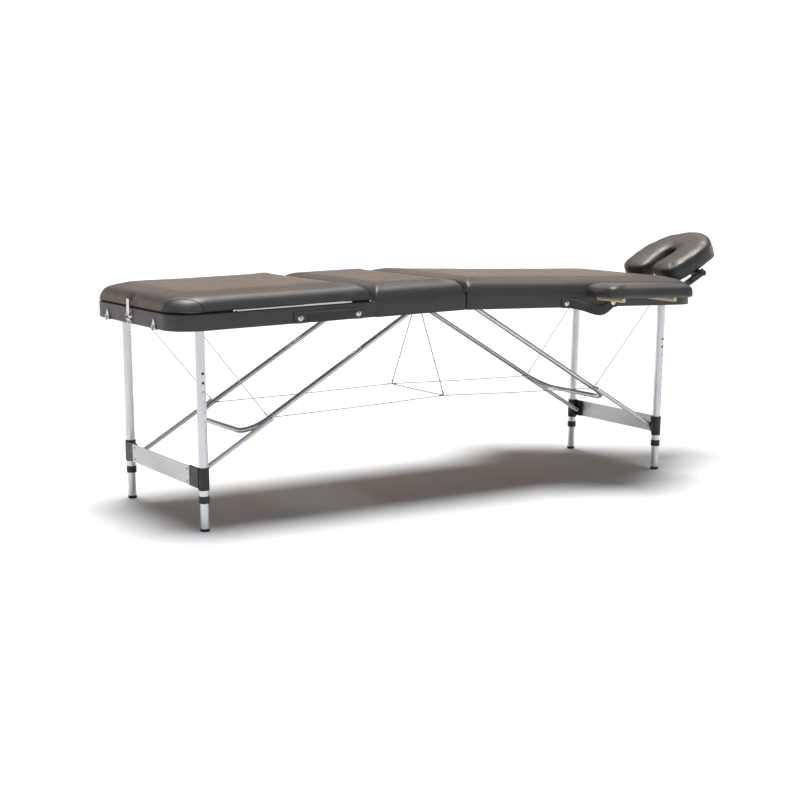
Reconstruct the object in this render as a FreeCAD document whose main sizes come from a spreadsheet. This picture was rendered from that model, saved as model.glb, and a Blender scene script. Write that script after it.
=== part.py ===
import FreeCAD, Part
import math
import os
import re
import Sketcher

# Folding aluminium massage table, opened and standing on its four legs.
# Each half is drawn flat: x runs outward from the fold, y across, z up from the underside of the rails.
# The halves are then tilted about the fold, because the opened table is slightly higher in the middle.

SIZES = [
    # rails and boards
    ("half_length", 950), ("frame_width", 596), ("corner_radius", 88), ("rail_height", 45),
    ("rail_width", 18), ("fold_gap", 2), ("board_thick", 6), ("board_inset", 2), ("camber", 1.39),
    # cushions
    ("cushion_thick", 42), ("backrest_thick", 36), ("cushion_overhang", 2), ("end_overhang", 3),
    ("cushion_corner", 14), ("edge_round", 24), ("hinge_round", 36),
    # lifting backrest
    ("backrest_line", 327), ("backrest_axis", 60), ("backrest_gap", 5), ("backrest_lift", 6.6),
    ("knuckle_radius", 3), ("pin_radius", 1.6), ("leaf_thick", 1.5), ("leaf_length", 60), ("leaf_side", 98),
    ("leaf_place", "=frame_width / 2 - leaf_side"),
    ("prop_length", 217), ("prop_thick", 6), ("prop_depth", 4), ("prop_inset", 30), ("prop_pin", 2),
    ("prop_place", "=frame_width / 2 - prop_inset"),
    ("track_thick", 2), ("track_width", 10), ("track_length", 368), ("lip_thick", 3.5), ("lip_height", 4.6),
    ("prop_stop", 287),
    # centre hinges
    ("hinge_drop", 8), ("hinge_radius", 4), ("hinge_pin", 2), ("hinge_length", 84), ("hinge_place", 130),
    ("hinge_leaf", 2), ("hinge_leaf_width", 17),
    # legs
    ("leg_inset", 5), ("leg_station", "=half_length - corner_radius - leg_inset"),
    ("leg_side", 63), ("leg_offset", "=frame_width / 2 - leg_side"), ("leg_nest", 31.5),
    ("axle_height", 22),
    ("axle_radius", 5), ("tube_radius", 13.5), ("tube_wall", 1.1), ("tube_top", 12), ("tube_below", 35),
    ("tube_reach", "=lug_depth + tube_below"), ("leg_reach", 562.5),
    ("slide_clear", 0.3), ("inner_wall", 1.2), ("inner_top", 150), ("hole_first", 121),
    ("hole_pitch", 26.5),
    ("hole_radius", 4), ("hole_count", 9), ("hole_used", 2), ("button_radius", 3.5), ("button_travel", 4),
    ("button_sink", 0.7), ("button_depth", 8), ("button_leaf", 46), ("button_gauge", 1),
    ("floor_block", 50),
    ("foot_radius", 13), ("foot_height", 8), ("foot_sole", 4), ("run_clear", 0.05),
    # clamps, collars and cross plates
    ("clamp_above", 54), ("clamp_top", "=lug_depth - clamp_above"), ("clamp_height", 63.5),
    ("clamp_wall", 2),
    ("collar_below", 26), ("collar_top", "=lug_depth + collar_below"), ("collar_height", 20),
    ("collar_radius", 15), ("plate_above", 51), ("plate_top", "=lug_depth - plate_above"),
    ("plate_height", 54), ("plate_thick", 3), ("plate_outset", 18), ("plate_step", 39),
    ("plate_reach", "=leg_offset - plate_step"), ("bracket_tongue", 12),
    # folding braces and struts
    ("brace_station", 67), ("brace_radius", 7.5), ("knee_step", 16), ("brace_tail", 76),
    ("brace_place", "=strut_place - knee_step"),
    ("brace_reach", "=(hypot(leg_station - lug_inset - brace_station; lug_depth)"
     " + hypot(leg_station - lug_depth - brace_station; lug_inset)) / 2 + brace_tail"),
    ("brace_bend", 72), ("brace_end", 12), ("clevis_thick", 3), ("clevis_width", 24), ("brace_pin", 4),
    ("lug_inset", 7), ("lug_depth", 437), ("strut_radius", 7), ("strut_step", 40),
    ("strut_place", "=leg_offset - strut_step"), ("strut_end", 10), ("strut_tip", 4), ("strut_pin", 3),
    ("lug_half", 8), ("bearing_width", 30), ("bearing_thick", 13),
    # cables
    ("cable_radius", 1.2), ("yoke_radius", 1.4), ("yoke_half", 149), ("yoke_depth", 281),
    ("yoke_rise", 15), ("yoke_offset", 32),
    # carrying handles
    ("handle_start", 381), ("handle_span", 190), ("handle_height", 12), ("strap_width", 25),
    ("strap_thick", 2), ("strap_bow", 8), ("strap_sag", 8), ("tab_length", 22), ("screw_radius", 8.5),
    ("screw_thick", 3),
    # fittings on the end rails
    ("latch_width", 24), ("latch_thick", 2), ("latch_pin_height", 26), ("lever_top", 70),
    ("lever_width", 18),
    ("bail_pivot", 13), ("bail_drop", 40), ("bail_half", 8), ("bail_wire", 1.5), ("eye_side", 135),
    ("eye_place", "=frame_width / 2 - eye_side"),
    ("eye_width", 36), ("eye_height", 32), ("eye_thick", 3), ("eye_hole", 3),
    # headrest
    ("post_place", 110), ("post_radius", 8), ("post_depth", 70), ("fork_gap", 22), ("tilt_reach", 128),
    ("post_start", "=half_length - post_depth"), ("fork_station", "=half_length + fork_gap"),
    ("tilt_station", "=fork_station + tilt_reach"), ("fork_radius", 9),
    ("arm_place", 148), ("arm_thick", 4), ("arm_width", 24), ("tilt_height", 93),
    ("tilt_angle", 28.2), ("tilt_pin", 4), ("rest_centre", 26), ("rest_rise", 13), ("rest_ring", 93),
    ("rest_fill", 54), ("rest_straight", 79), ("rest_top", 31), ("plate_gauge", 8), ("lever_length", 58),
    ("rest_heel", 30), ("rest_nose", 60), ("slot_heel", 4), ("slot_nose", 34),
    # armrests
    ("armrest_centre", 623), ("armrest_length", 352), ("armrest_width", 137), ("armrest_gap", 5),
    ("armrest_base", 34.5), ("armrest_thick", 39), ("armrest_corner", 34), ("dowel_first", 511),
    ("dowel_second", 725), ("dowel_height", 27), ("dowel_radius", 7), ("dowel_depth", 48),
    ("dowel_inner", "=frame_width / 2 - dowel_depth"), ("dowel_length", 172),
]

doc = FreeCAD.newDocument("MassageTable")
sheet = doc.addObject("Spreadsheet::Sheet", "dim")
for row, (alias, value) in enumerate(SIZES, start=1):
    sheet.set("A%d" % row, alias)
    sheet.setAlias("B%d" % row, alias)
for row, (alias, value) in enumerate(SIZES, start=1):
    sheet.set("B%d" % row, str(value))
doc.recompute()

ALIASES = set(alias for alias, value in SIZES)
S = dict((alias, float(getattr(sheet, alias))) for alias, value in SIZES)
NODES = []
PROBE = doc.addObject("App::FeaturePython", "Probe")
PROBE.addProperty("App::PropertyFloat", "Number")


def bound(text):
    """A formula on the sheet's names, as the document's objects read it."""
    word = re.compile(r"[a-z_]+")
    return word.sub(lambda found: "dim." + found.group() if found.group() in ALIASES else found.group(),
                    str(text))


def bind(thing, path, text):
    thing.setExpression(path, bound(text))


def put(thing, x, y, z):
    for axis, text in zip("xyz", (x, y, z)):
        bind(thing, "Placement.Base." + axis, text)
    return thing


def box(name, x, y, z, long, wide, high):
    thing = doc.addObject("Part::Box", name)
    for path, text in (("Length", long), ("Width", wide), ("Height", high)):
        bind(thing, path, text)
    return put(thing, x, y, z)


TURNS = {
    "x": FreeCAD.Rotation(FreeCAD.Vector(0, 1, 0), 90),
    "y": FreeCAD.Rotation(FreeCAD.Vector(1, 0, 0), -90),
    "z": FreeCAD.Rotation(),
}


def rod(name, axis, x, y, z, radius, length, turn=None):
    """A round bar that starts at a point and runs along an axis, or along a given turn of z."""
    thing = doc.addObject("Part::Cylinder", name)
    bind(thing, "Radius", radius)
    bind(thing, "Height", length)
    thing.Placement.Rotation = turn if turn is not None else TURNS[axis]
    return put(thing, x, y, z)


def join(name, things):
    whole = doc.addObject("Part::MultiFuse", name)
    whole.Shapes = things
    whole.Refine = True
    return whole


def group(name, things):
    whole = doc.addObject("Part::Compound", name)
    whole.Links = things
    return whole


def cut(name, base, tools):
    tool = tools[0] if len(tools) == 1 else join(name + "Tools", tools)
    whole = doc.addObject("Part::Cut", name)
    whole.Base = base
    whole.Tool = tool
    return whole


def rounded(body, name, level, left, right, low, high, corner_left, corner_right):
    """A rectangle with round corners on a level of the body's own xy plane."""
    sketch = body.newObject("Sketcher::SketchObject", name)
    plane = [f for f in body.Origin.OriginFeatures if f.Role == "XY_Plane"][0]
    sketch.AttachmentSupport = (plane, [""])
    sketch.MapMode = "FlatFace"
    bind(sketch, "AttachmentOffset.Base.z", level)
    a, b, c, d = value_of(left), value_of(right), value_of(low), value_of(high)
    p, q = value_of(corner_left), value_of(corner_right)
    V = FreeCAD.Vector
    up = V(0, 0, 1)

    def arc(x, y, radius, first):
        circle = Part.Circle(V(x, y, 0), up, radius)
        return Part.ArcOfCircle(circle, math.radians(first), math.radians(first + 90))

    sketch.addGeometry([
        Part.LineSegment(V(a + p, c, 0), V(b - q, c, 0)), arc(b - q, c + q, q, 270),
        Part.LineSegment(V(b, c + q, 0), V(b, d - q, 0)), arc(b - q, d - q, q, 0),
        Part.LineSegment(V(b - q, d, 0), V(a + p, d, 0)), arc(a + p, d - p, p, 90),
        Part.LineSegment(V(a, d - p, 0), V(a, c + p, 0)), arc(a + p, c + p, p, 180),
    ], False)
    for k in range(8):
        sketch.addConstraint(Sketcher.Constraint("Tangent", k, 2, (k + 1) % 8, 1))
    for k, kind in ((0, "Horizontal"), (2, "Vertical"), (4, "Horizontal"), (6, "Vertical")):
        sketch.addConstraint(Sketcher.Constraint(kind, k))
    for k, kind, size, text in ((6, "DistanceX", a, left), (2, "DistanceX", b, right),
                                (0, "DistanceY", c, low), (4, "DistanceY", d, high)):
        index = sketch.addConstraint(Sketcher.Constraint(kind, -1, 1, k, 1, size))
        sketch.setExpression("Constraints[%d]" % index, bound(text))
    for k, size, text in ((1, q, corner_right), (3, q, corner_right), (5, p, corner_left),
                          (7, p, corner_left)):
        index = sketch.addConstraint(Sketcher.Constraint("Radius", k, size))
        sketch.setExpression("Constraints[%d]" % index, bound(text))
    return sketch


def value_of(text):
    """The number that a formula on the sheet's names has now."""
    bind(PROBE, "Number", text)
    PROBE.recompute()
    return PROBE.Number


def padded(name, sections):
    """A soft block: rounded rectangles stacked from its base to its crown."""
    body = doc.addObject("PartDesign::Body", name)
    sketches = [rounded(body, "%sLevel%d" % (name, k), *section) for k, section in enumerate(sections)]
    loft = body.newObject("PartDesign::AdditiveLoft", name + "Loft")
    loft.Profile = sketches[0]
    loft.Sections = sketches[1:]
    loft.Ruled = True
    return body


def slab(name, base, thick, left, right, low, high, corner_left, corner_right):
    """A flat board or plate with round corners."""
    body = doc.addObject("PartDesign::Body", name)
    sketch = rounded(body, name + "Outline", base, left, right, low, high, corner_left, corner_right)
    pad = body.newObject("PartDesign::Pad", name + "Pad")
    pad.Profile = sketch
    bind(pad, "Length", thick)
    return body


def at_half(half, local=None):
    """Where a half's own frame stands, with an optional place inside it."""
    yaw = 0 if half == "head" else 180
    tilt = math.radians(S["camber"])
    height = S["leg_station"] * math.sin(tilt) + (S["leg_reach"] - S["hinge_drop"]) * math.cos(tilt)
    turned = FreeCAD.Placement(FreeCAD.Vector(0, 0, height), FreeCAD.Rotation(yaw, S["camber"], 0))
    frame = turned * FreeCAD.Placement(FreeCAD.Vector(0, 0, S["hinge_drop"]), FreeCAD.Rotation())
    return frame * local if local is not None else frame


def node(label, thing, half, local=None):
    thing.Label = label
    thing.Placement = at_half(half, local)
    NODES.append(thing)


def near_sign(half):
    """The sign of y on the side that faces the viewer, in a half's own frame."""
    return -1 if half == "head" else 1


def mirrored_y(sign, start, length):
    """The lower y of a piece that lies between start and start + length on one side."""
    return "(%s)" % start if sign > 0 else "-(%s) - (%s)" % (start, length)


# The rails of one half: two sides, two round corners, the end and the rail at the fold.
def make_rails(half):
    pieces = []
    outer = "frame_width / 2"
    for sign, word in ((-1, "Right"), (1, "Left")):
        name = half + "Side" + word
        side = box(name, "fold_gap", mirrored_y(sign, outer + " - rail_width", "rail_width"), 0,
                   "half_length - corner_radius - fold_gap", "rail_width", "rail_height")
        if half == "head":
            bores = [rod(name + "Bore%d" % k, "y", at,
                         mirrored_y(sign, outer + " - rail_width - 1", "rail_width + 2"),
                         "dowel_height", "dowel_radius + slide_clear", "rail_width + 2")
                     for k, at in enumerate(("dowel_first", "dowel_second"))]
            side = cut(name + "Bored", side, bores)
        pieces.append(side)
        wide = rod(name + "Bend", "z", "half_length - corner_radius",
                   "%d * (%s - corner_radius)" % (sign, outer),
                   0, "corner_radius", "rail_height")
        wide.Angle = 90
        wide.Placement.Rotation = FreeCAD.Rotation(FreeCAD.Vector(0, 0, 1), 0 if sign > 0 else -90)
        slim = rod(name + "Hollow", "z", "half_length - corner_radius",
                   "%d * (%s - corner_radius)" % (sign, outer),
                   -1, "corner_radius - rail_width", "rail_height + 2")
        pieces.append(cut(name + "Corner", wide, [slim]))
    end = box(half + "End", "half_length - rail_width", "corner_radius - frame_width / 2", 0,
              "rail_width", "frame_width - 2 * corner_radius", "rail_height")
    if half == "head":
        sockets = [rod("Socket%d" % k, "x", "half_length - rail_width - 1", "%d * post_place" % sign,
                       "axle_height", "post_radius + slide_clear", "rail_width + 2")
                   for k, sign in enumerate((-1, 1))]
        end = cut("HeadEndBored", end, sockets)
    pieces.append(end)
    pieces.append(box(half + "FoldRail", "fold_gap", "rail_width - frame_width / 2", 0,
                      "rail_width", "frame_width - 2 * rail_width", "rail_height"))
    node(half + "_rails", group(half + "Rails", pieces), half)


# Knuckled leaves under the rails at the fold. The back half's leaves carry the pins.
def make_fold_hinge(half):
    pieces = []
    share = "hinge_length / 3"
    for k, sign in enumerate((-1, 1)):
        name = "%sFold%d" % (half, k)
        start = "%d * hinge_place - hinge_length / 2" % sign
        leaf = box(name + "Leaf", "fold_gap", start, "-hinge_leaf", "hinge_leaf_width", "hinge_length",
                   "hinge_leaf")
        if half == "back":
            spans = [(start, share + " - slide_clear"), (start + " + 2 * %s + slide_clear" % share,
                                                         share + " - slide_clear")]
        else:
            spans = [(start + " + %s + slide_clear" % share, share + " - 2 * slide_clear")]
        solid = [leaf]
        for m, (first, length) in enumerate(spans):
            solid.append(rod("%sKnuckle%d" % (name, m), "y", 0, first, "-hinge_drop", "hinge_radius",
                             length))
            solid.append(box("%sWeb%d" % (name, m), 0, first, "-hinge_drop", "fold_gap + hinge_radius",
                             length,
                             "hinge_drop"))
        if half == "back":
            solid.append(rod(name + "Pin", "y", 0, start, "-hinge_drop", "hinge_pin", "hinge_length"))
            pieces.append(join(name + "Whole", solid))
        else:
            hole = rod(name + "Hole", "y", 0, start, "-hinge_drop", "hinge_pin + run_clear", "hinge_length")
            pieces.append(cut(name + "Whole", join(name + "Solid", solid), [hole]))
    node(half + "_hinge_leaves", group(half + "HingeLeaves", pieces), half)


# The leg axle with its bearing blocks, and the two clevises that hold the brace.
def make_pivots(half):
    inner = "frame_width / 2 - rail_width"
    axle = [rod(half + "Axle", "y", "leg_station", "-(%s)" % inner, "axle_height", "axle_radius",
                "2 * (%s)" % inner)]
    for sign in (-1, 1):
        axle.append(box("%sBearing%d" % (half, sign + 1),
                        "leg_station + leg_inset - slide_clear - bearing_width",
                        mirrored_y(sign, inner + " - bearing_thick", "bearing_thick"),
                        "axle_height - bearing_width / 2", "bearing_width", "bearing_thick",
                        "rail_height - axle_height + bearing_width / 2"))
    pieces = [join(half + "AxleWhole", axle)]
    for sign in (-1, 1):
        name = "%sClevis%d" % (half, sign + 1)
        reach = "brace_radius + slide_clear + clevis_thick"
        cheeks = [rod(name + "Pin", "y", "brace_station", "%d * brace_place - (%s)" % (sign, reach),
                      "axle_height",
                      "brace_pin", "2 * (%s)" % reach)]
        for m, first in enumerate(("-(%s)" % reach, "brace_radius + slide_clear")):
            cheeks.append(box("%sCheek%d" % (name, m), "brace_station - clevis_width / 2",
                              "%d * brace_place + %s" % (sign, first), "axle_height - clevis_width / 2",
                              "clevis_width", "clevis_thick",
                              "rail_height - axle_height + clevis_width / 2"))
        pieces.append(join(name + "Whole", cheeks))
    node(half + "_pivot_fittings", group(half + "Pivots", pieces), half)


def leg_place(half):
    """How far the legs of a half stand from the middle: the two pairs pass each other when folded."""
    return "(leg_offset + leg_nest / 2)" if half == "back" else "(leg_offset - leg_nest / 2)"


# The outer leg tubes with their rows of height holes, which face outward.
def make_leg_tubes(half):
    pieces = []
    for sign in (-1, 1):
        name = "%sTube%d" % (half, sign + 1)
        y = "%d * %s" % (sign, leg_place(half))
        length = "tube_reach + axle_height + tube_top"
        tube = rod(name, "z", "leg_station", y, "-tube_reach", "tube_radius", length)
        tools = [rod(name + "Bore", "z", "leg_station", y, "-tube_reach - 1", "tube_radius - tube_wall",
                     length + " + 2"),
                 rod(name + "Eye", "y", "leg_station", y + " - tube_radius - 1", "axle_height",
                     "axle_radius + run_clear", "2 * tube_radius + 2")]
        for k in range(int(S["hole_count"])):
            tools.append(rod("%sHole%d" % (name, k), "y", "leg_station",
                             y if sign > 0 else y + " - tube_radius - 1",
                             "-hole_first - %d * hole_pitch" % k, "hole_radius", "tube_radius + 1"))
        pieces.append(cut(name + "Drilled", tube, tools))
    node(half + "_leg_tubes", group(half + "LegTubes", pieces), half)


# Sleeve clamps on the tubes. Each carries the strut's pivot lug and one end of the cross plate.
def make_leg_clamps(half):
    pieces = []
    place = leg_place(half)
    sleeve = "(tube_radius + clamp_wall)"
    for sign in (-1, 1):
        name = "%sClamp%d" % (half, sign + 1)
        y = "%d * %s" % (sign, place)
        low = "-clamp_top - clamp_height"
        body = rod(name + "Sleeve", "z", "leg_station", y, low, sleeve, "clamp_height")
        bracket = box(name + "Bracket", "leg_station + tube_radius / 2",
                      mirrored_y(sign, "plate_reach + run_clear",
                      place + " - plate_reach - run_clear"), "-plate_top - plate_height",
                      "plate_outset - tube_radius / 2", place + " - plate_reach - run_clear",
                      "plate_height")
        tongue = box(name + "Tongue", "leg_station + tube_radius / 2",
                     mirrored_y(sign, "plate_reach - bracket_tongue",
                     place + " - plate_reach"), "-plate_top - plate_height",
                     "plate_outset - tube_radius / 2 - plate_thick - run_clear", place + " - plate_reach",
                     "plate_height")
        lug_start = "strut_place + strut_radius + slide_clear"
        lug = box(name + "Lug", "leg_station - lug_inset - lug_half",
                  mirrored_y(sign, lug_start, place + " - (%s)" % lug_start),
                  "axle_height - lug_depth - lug_half", "2 * lug_half", place + " - (%s)" % lug_start,
                  "2 * lug_half")
        pin_start = "strut_place - strut_radius"
        pin = rod(name + "Pin", "y", "leg_station - lug_inset",
                  mirrored_y(sign, pin_start, place + " - (%s)" % pin_start),
                  "axle_height - lug_depth", "strut_pin", place + " - (%s)" % pin_start)
        bore = rod(name + "Bore", "z", "leg_station", y, low + " - 1", "tube_radius + run_clear",
                   "clamp_height + 2")
        pieces.append(cut(name + "Bored", join(name + "Solid", [body, bracket, tongue, lug, pin]), [bore]))
    node(half + "_leg_clamps", group(half + "LegClamps", pieces), half)


# Plastic collars that guide the inner legs at the lower ends of the tubes.
def make_leg_collars(half):
    pieces = []
    for sign in (-1, 1):
        name = "%sCollar%d" % (half, sign + 1)
        y = "%d * %s" % (sign, leg_place(half))
        low = "-collar_top - collar_height"
        ring = rod(name, "z", "leg_station", y, low, "collar_radius", "collar_height")
        seat = rod(name + "Seat", "z", "leg_station", y, "-tube_reach", "tube_radius + run_clear",
                   "collar_height")
        guide = rod(name + "Guide", "z", "leg_station", y, low + " - 1", "tube_radius - tube_wall",
                    "collar_height")
        pieces.append(cut(name + "Bored", ring, [seat, guide]))
    node(half + "_leg_collars", group(half + "LegCollars", pieces), half)


# The flat cross plate between the two legs, on their outer side.
def make_leg_plate(half):
    plate = box(half + "Plate", "leg_station + plate_outset - plate_thick", "-plate_reach",
                "-plate_top - plate_height", "plate_thick", "2 * plate_reach", "plate_height")
    node(half + "_leg_plate", group(half + "PlateWhole", [plate]), half)


# Inner leg, rubber foot and spring button of one leg.
def make_inner_leg(half, sign, word):
    name = "%sInner%d" % (half, sign + 1)
    y = "%d * %s" % (sign, leg_place(half))
    bore = "(tube_radius - tube_wall)"
    inner = "(tube_radius - tube_wall - slide_clear)"
    low = "-leg_reach + foot_sole"
    length = "leg_reach - foot_sole - inner_top"
    button_height = "-hole_first - hole_used * hole_pitch"
    tube = rod(name, "z", "leg_station", y, low, inner, length)
    hollow = rod(name + "Hollow", "z", "leg_station", y, low + " - 1", inner + " - inner_wall",
                 length + " + 2")
    window = rod(name + "Window", "y", "leg_station", y if sign > 0 else y + " - tube_radius",
                 button_height, "button_radius + run_clear", "tube_radius")
    node("%s_inner_leg_%s" % (half, word),
         group(name + "Whole", [cut(name + "Cut", tube, [hollow, window])]), half)

    cup = rod(name + "Cup", "z", "leg_station", y, "-leg_reach - foot_sole", "foot_radius",
              "foot_height + foot_sole")
    seat = rod(name + "Seat", "z", "leg_station", y, low, inner + " + run_clear", "foot_height")
    floor = box(name + "Floor", 0, 0, 0, "2 * floor_block", "2 * floor_block", "floor_block")
    floor.Placement.Rotation = FreeCAD.Rotation(FreeCAD.Vector(0, 1, 0), -S["camber"])
    along = math.cos(math.radians(S["camber"]))
    lean = math.sin(math.radians(S["camber"]))
    put(floor, "leg_station - floor_block * %r" % (along - lean), y + " - floor_block",
        "-leg_reach - floor_block * %r" % (along + lean))
    node("%s_foot_%s" % (half, word), group(name + "Foot", [cut(name + "FootCut", cup, [seat, floor])]),
         half)

    face = inner + " - button_sink"
    rear = " + %s - button_depth" if sign > 0 else " - (%s) + button_depth - button_gauge"
    back_face = y + rear % face
    head = rod(name + "Head", "y", "leg_station", back_face if sign > 0 else y + " - (%s)" % face,
               button_height, "button_radius", "button_depth")
    flange = rod(name + "Flange", "y", "leg_station",
                 back_face, button_height, "button_radius + 1.5 * button_gauge", "button_gauge")
    leaf = box(name + "Leaf", "leg_station - button_radius", back_face, button_height + " - button_leaf",
               "2 * button_radius", "button_gauge", "button_leaf")
    far_wall = "(%s - button_travel - inner_wall - 2 * slide_clear)" % inner
    foot = box(name + "LeafFoot", "leg_station - button_radius",
               y + (" - " + far_wall if sign > 0 else " - (%s) + button_depth" % face),
               button_height + " - button_leaf", "2 * button_radius",
               "%s + %s - button_depth" % (face, far_wall), "button_gauge")
    node("%s_button_%s" % (half, word), group(name + "Button",
                                              [join(name + "ButtonWhole", [head, flange, leaf, foot])]),
         half)


def brace_angle():
    """The slope of the straightened brace and struts, from the brace's pivot down to the clamp's lug."""
    run = S["leg_station"] - S["lug_inset"] - S["brace_station"]
    return math.degrees(math.atan2(S["lug_depth"], run))


def brace_lengths():
    """Lengths of the upper arm and the lower strut that let both lie flat when the leg is folded in."""
    run = S["leg_station"] - S["lug_inset"] - S["brace_station"]
    opened = math.hypot(run, S["lug_depth"])
    folded = math.hypot(S["leg_station"] - S["lug_depth"] - S["brace_station"], S["lug_inset"])
    return (opened + folded) / 2, (opened - folded) / 2


# One bent tube: two arms from the clevises and the bow between them. It lies along x in its own plane.
def make_brace(half):
    pieces = []
    straight = "brace_reach - brace_bend"
    for sign in (-1, 1):
        name = "%sBrace%d" % (half, sign + 1)
        pieces.append(rod(name, "x", "-brace_end", "%d * brace_place" % sign, 0, "brace_radius",
                          straight + " + brace_end"))
        bend = doc.addObject("Part::Torus", name + "Bend")
        bind(bend, "Radius1", "brace_bend")
        bind(bend, "Radius2", "brace_radius")
        bend.Angle3 = 90
        bend.Placement.Rotation = FreeCAD.Rotation(FreeCAD.Vector(0, 0, 1), 0 if sign > 0 else -90)
        pieces.append(put(bend, straight, "%d * (brace_place - brace_bend)" % sign, 0))
    pieces.append(rod(half + "Bow", "y", "brace_reach", "brace_bend - brace_place", 0, "brace_radius",
                      "2 * (brace_place - brace_bend)"))
    holes = [rod("%sBraceHole%d" % (half, sign + 1), "y", 0, "%d * brace_place - brace_radius - 1" % sign,
                 0,
                 "brace_pin + run_clear", "2 * brace_radius + 2") for sign in (-1, 1)]
    tube = cut(half + "BraceWhole", join(half + "BraceSolid", pieces), holes)
    place = FreeCAD.Placement(FreeCAD.Vector(S["brace_station"], 0, S["axle_height"]),
                              FreeCAD.Rotation(FreeCAD.Vector(0, 1, 0), brace_angle()))
    node(half + "_brace", tube, half, place)


# The pair of lower struts, from the lugs on the clamps up to the knees. They lie along x in their own plane.
def make_struts(half):
    upper, lower = brace_lengths()
    pieces = []
    for sign in (-1, 1):
        name = "%sStrut%d" % (half, sign + 1)
        bar = rod(name, "x", "-strut_end", "%d * strut_place" % sign, 0, "strut_radius",
                  "%r + strut_end + strut_tip" % lower)
        hole = rod(name + "Hole", "y", 0, "%d * strut_place - strut_radius - 1" % sign, 0,
                   "strut_pin + run_clear",
                   "2 * strut_radius + 2")
        rivet = rod(name + "Rivet", "y", "%r" % lower,
                    mirrored_y(sign, "brace_place + brace_radius + slide_clear",
                    "strut_place - brace_place - brace_radius + strut_radius + 2"), 0, "strut_pin + 2",
                    "strut_place - brace_place - brace_radius + strut_radius + 2")
        pieces.append(cut(name + "Bored", join(name + "Solid", [bar, rivet]), [hole]))
    place = FreeCAD.Placement(FreeCAD.Vector(S["leg_station"] - S["lug_inset"], 0,
                                             S["axle_height"] - S["lug_depth"]),
                              FreeCAD.Rotation(FreeCAD.Vector(0, 1, 0), brace_angle() + 180))
    node(half + "_struts", group(half + "Struts", pieces), half, place)


def wire(name, start, end, radius):
    """A straight run of cable between two points."""
    V = FreeCAD.Vector
    run = V(*end) - V(*start)
    turn = FreeCAD.Rotation(V(0, 0, 1), run)
    return rod(name, "z", "%r" % start[0], "%r" % start[1], "%r" % start[2], radius, "%r" % run.Length,
               turn)


def knee(side):
    """The knee on the brace's own line, and how far a cable lies from it."""
    upper, lower = brace_lengths()
    slope = math.radians(brace_angle())
    x = S["brace_station"] + upper * math.cos(slope)
    z = S["axle_height"] - upper * math.sin(slope)
    rise = S["brace_radius"] + 2 * S["slide_clear"]
    above = (x + rise * math.sin(slope), side * S["brace_place"], z + rise * math.cos(slope))
    inside = (x, side * (S["brace_place"] - rise - S["cable_radius"]), z)
    return above, inside


def yoke_corner(half):
    """The yoke's lower corner in a half's own frame: its distance from the fold and its depth."""
    lean = math.tan(math.radians(S["camber"]))
    if half == "head":
        return S["yoke_offset"], S["yoke_depth"]
    across = 2 * (S["yoke_depth"] - S["hinge_drop"]) * lean - S["yoke_offset"]
    return across, S["yoke_depth"] + (S["yoke_offset"] - across) * lean


# Steel cables of one half: knees to the leg axle, and knees to the yoke under the fold.
def make_cables(half):
    pieces = []
    hang = S["axle_radius"] + 2 * S["slide_clear"]
    for sign in (-1, 1):
        name = "%sCable%d" % (half, sign + 1)
        above, inside = knee(sign)
        axle = (S["leg_station"] - hang * 0.7072, sign * (S["strut_place"] - 2),
                S["axle_height"] - hang * 0.7072)
        pieces.append(wire(name + "Stay", above, axle, "cable_radius"))
        across, drop = yoke_corner(half)
        corner = (across + 2 * S["yoke_radius"], sign * S["yoke_half"], -drop)
        pieces.append(wire(name + "Span", inside, corner, "cable_radius"))
    node(half + "_cables", group(half + "Cables", pieces), half)


# The triangular yoke of cable that hangs beside the fold and keeps the long cables together.
def make_yoke():
    top = (S["fold_gap"] + S["rail_width"] + S["yoke_radius"], 0.0, S["yoke_rise"])
    corners = [(S["yoke_offset"], sign * S["yoke_half"], -S["yoke_depth"]) for sign in (-1, 1)]
    runs = [wire("YokeLeft", top, corners[0], "yoke_radius"),
            wire("YokeRight", top, corners[1], "yoke_radius"),
            wire("YokeCross", corners[0], corners[1], "yoke_radius")]
    node("centre_yoke", group("Yoke", [join("YokeWhole", runs)]), "head")


# A carrying strap with two flat ends and a bowed middle, and the two screws that hold it.
def make_handle(half):
    sign = near_sign(half)
    face = "frame_width / 2 + slide_clear"
    low = "handle_height - strap_width / 2"
    sunk = low + " - strap_sag" if half == "head" else low
    chord = S["handle_span"] - S["tab_length"]
    radius = (chord ** 2 / 4 + S["strap_bow"] ** 2) / (2 * S["strap_bow"])
    half_angle = math.degrees(math.asin(chord / 2 / radius))
    solid = []
    for k, at in enumerate(("handle_start", "handle_start + handle_span")):
        solid.append(box("%sTab%d" % (half, k), at + " - tab_length / 2",
                         mirrored_y(sign, face, "strap_thick"), low,
                         "tab_length", "strap_thick", "strap_width"))
    centre_y = S["frame_width"] / 2 + S["slide_clear"] + S["strap_bow"] - radius
    outer = rod(half + "StrapOuter", "z", "handle_start + handle_span / 2", "%d * %r" % (sign, centre_y),
                sunk,
                "%r + strap_thick" % radius, "strap_width")
    outer.Angle = 2 * half_angle
    first = 90 - half_angle if sign > 0 else 270 - half_angle
    outer.Placement.Rotation = FreeCAD.Rotation(FreeCAD.Vector(0, 0, 1), first)
    core = rod(half + "StrapCore", "z", "handle_start + handle_span / 2", "%d * %r" % (sign, centre_y),
               sunk + " - 1", "%r" % radius, "strap_width + 2")
    solid.append(cut(half + "StrapBow", outer, [core]))
    node(half + "_handle_strap", group(half + "Strap", [join(half + "StrapWhole", solid)]), half)
    screws = []
    for k, at in enumerate(("handle_start", "handle_start + handle_span")):
        screws.append(rod("%sScrew%d" % (half, k), "y", at,
                          mirrored_y(sign, face + " + strap_thick + slide_clear",
                      "screw_thick"), "handle_height", "screw_radius", "screw_thick"))
    node(half + "_handle_screws", group(half + "Screws", screws), half)


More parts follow.
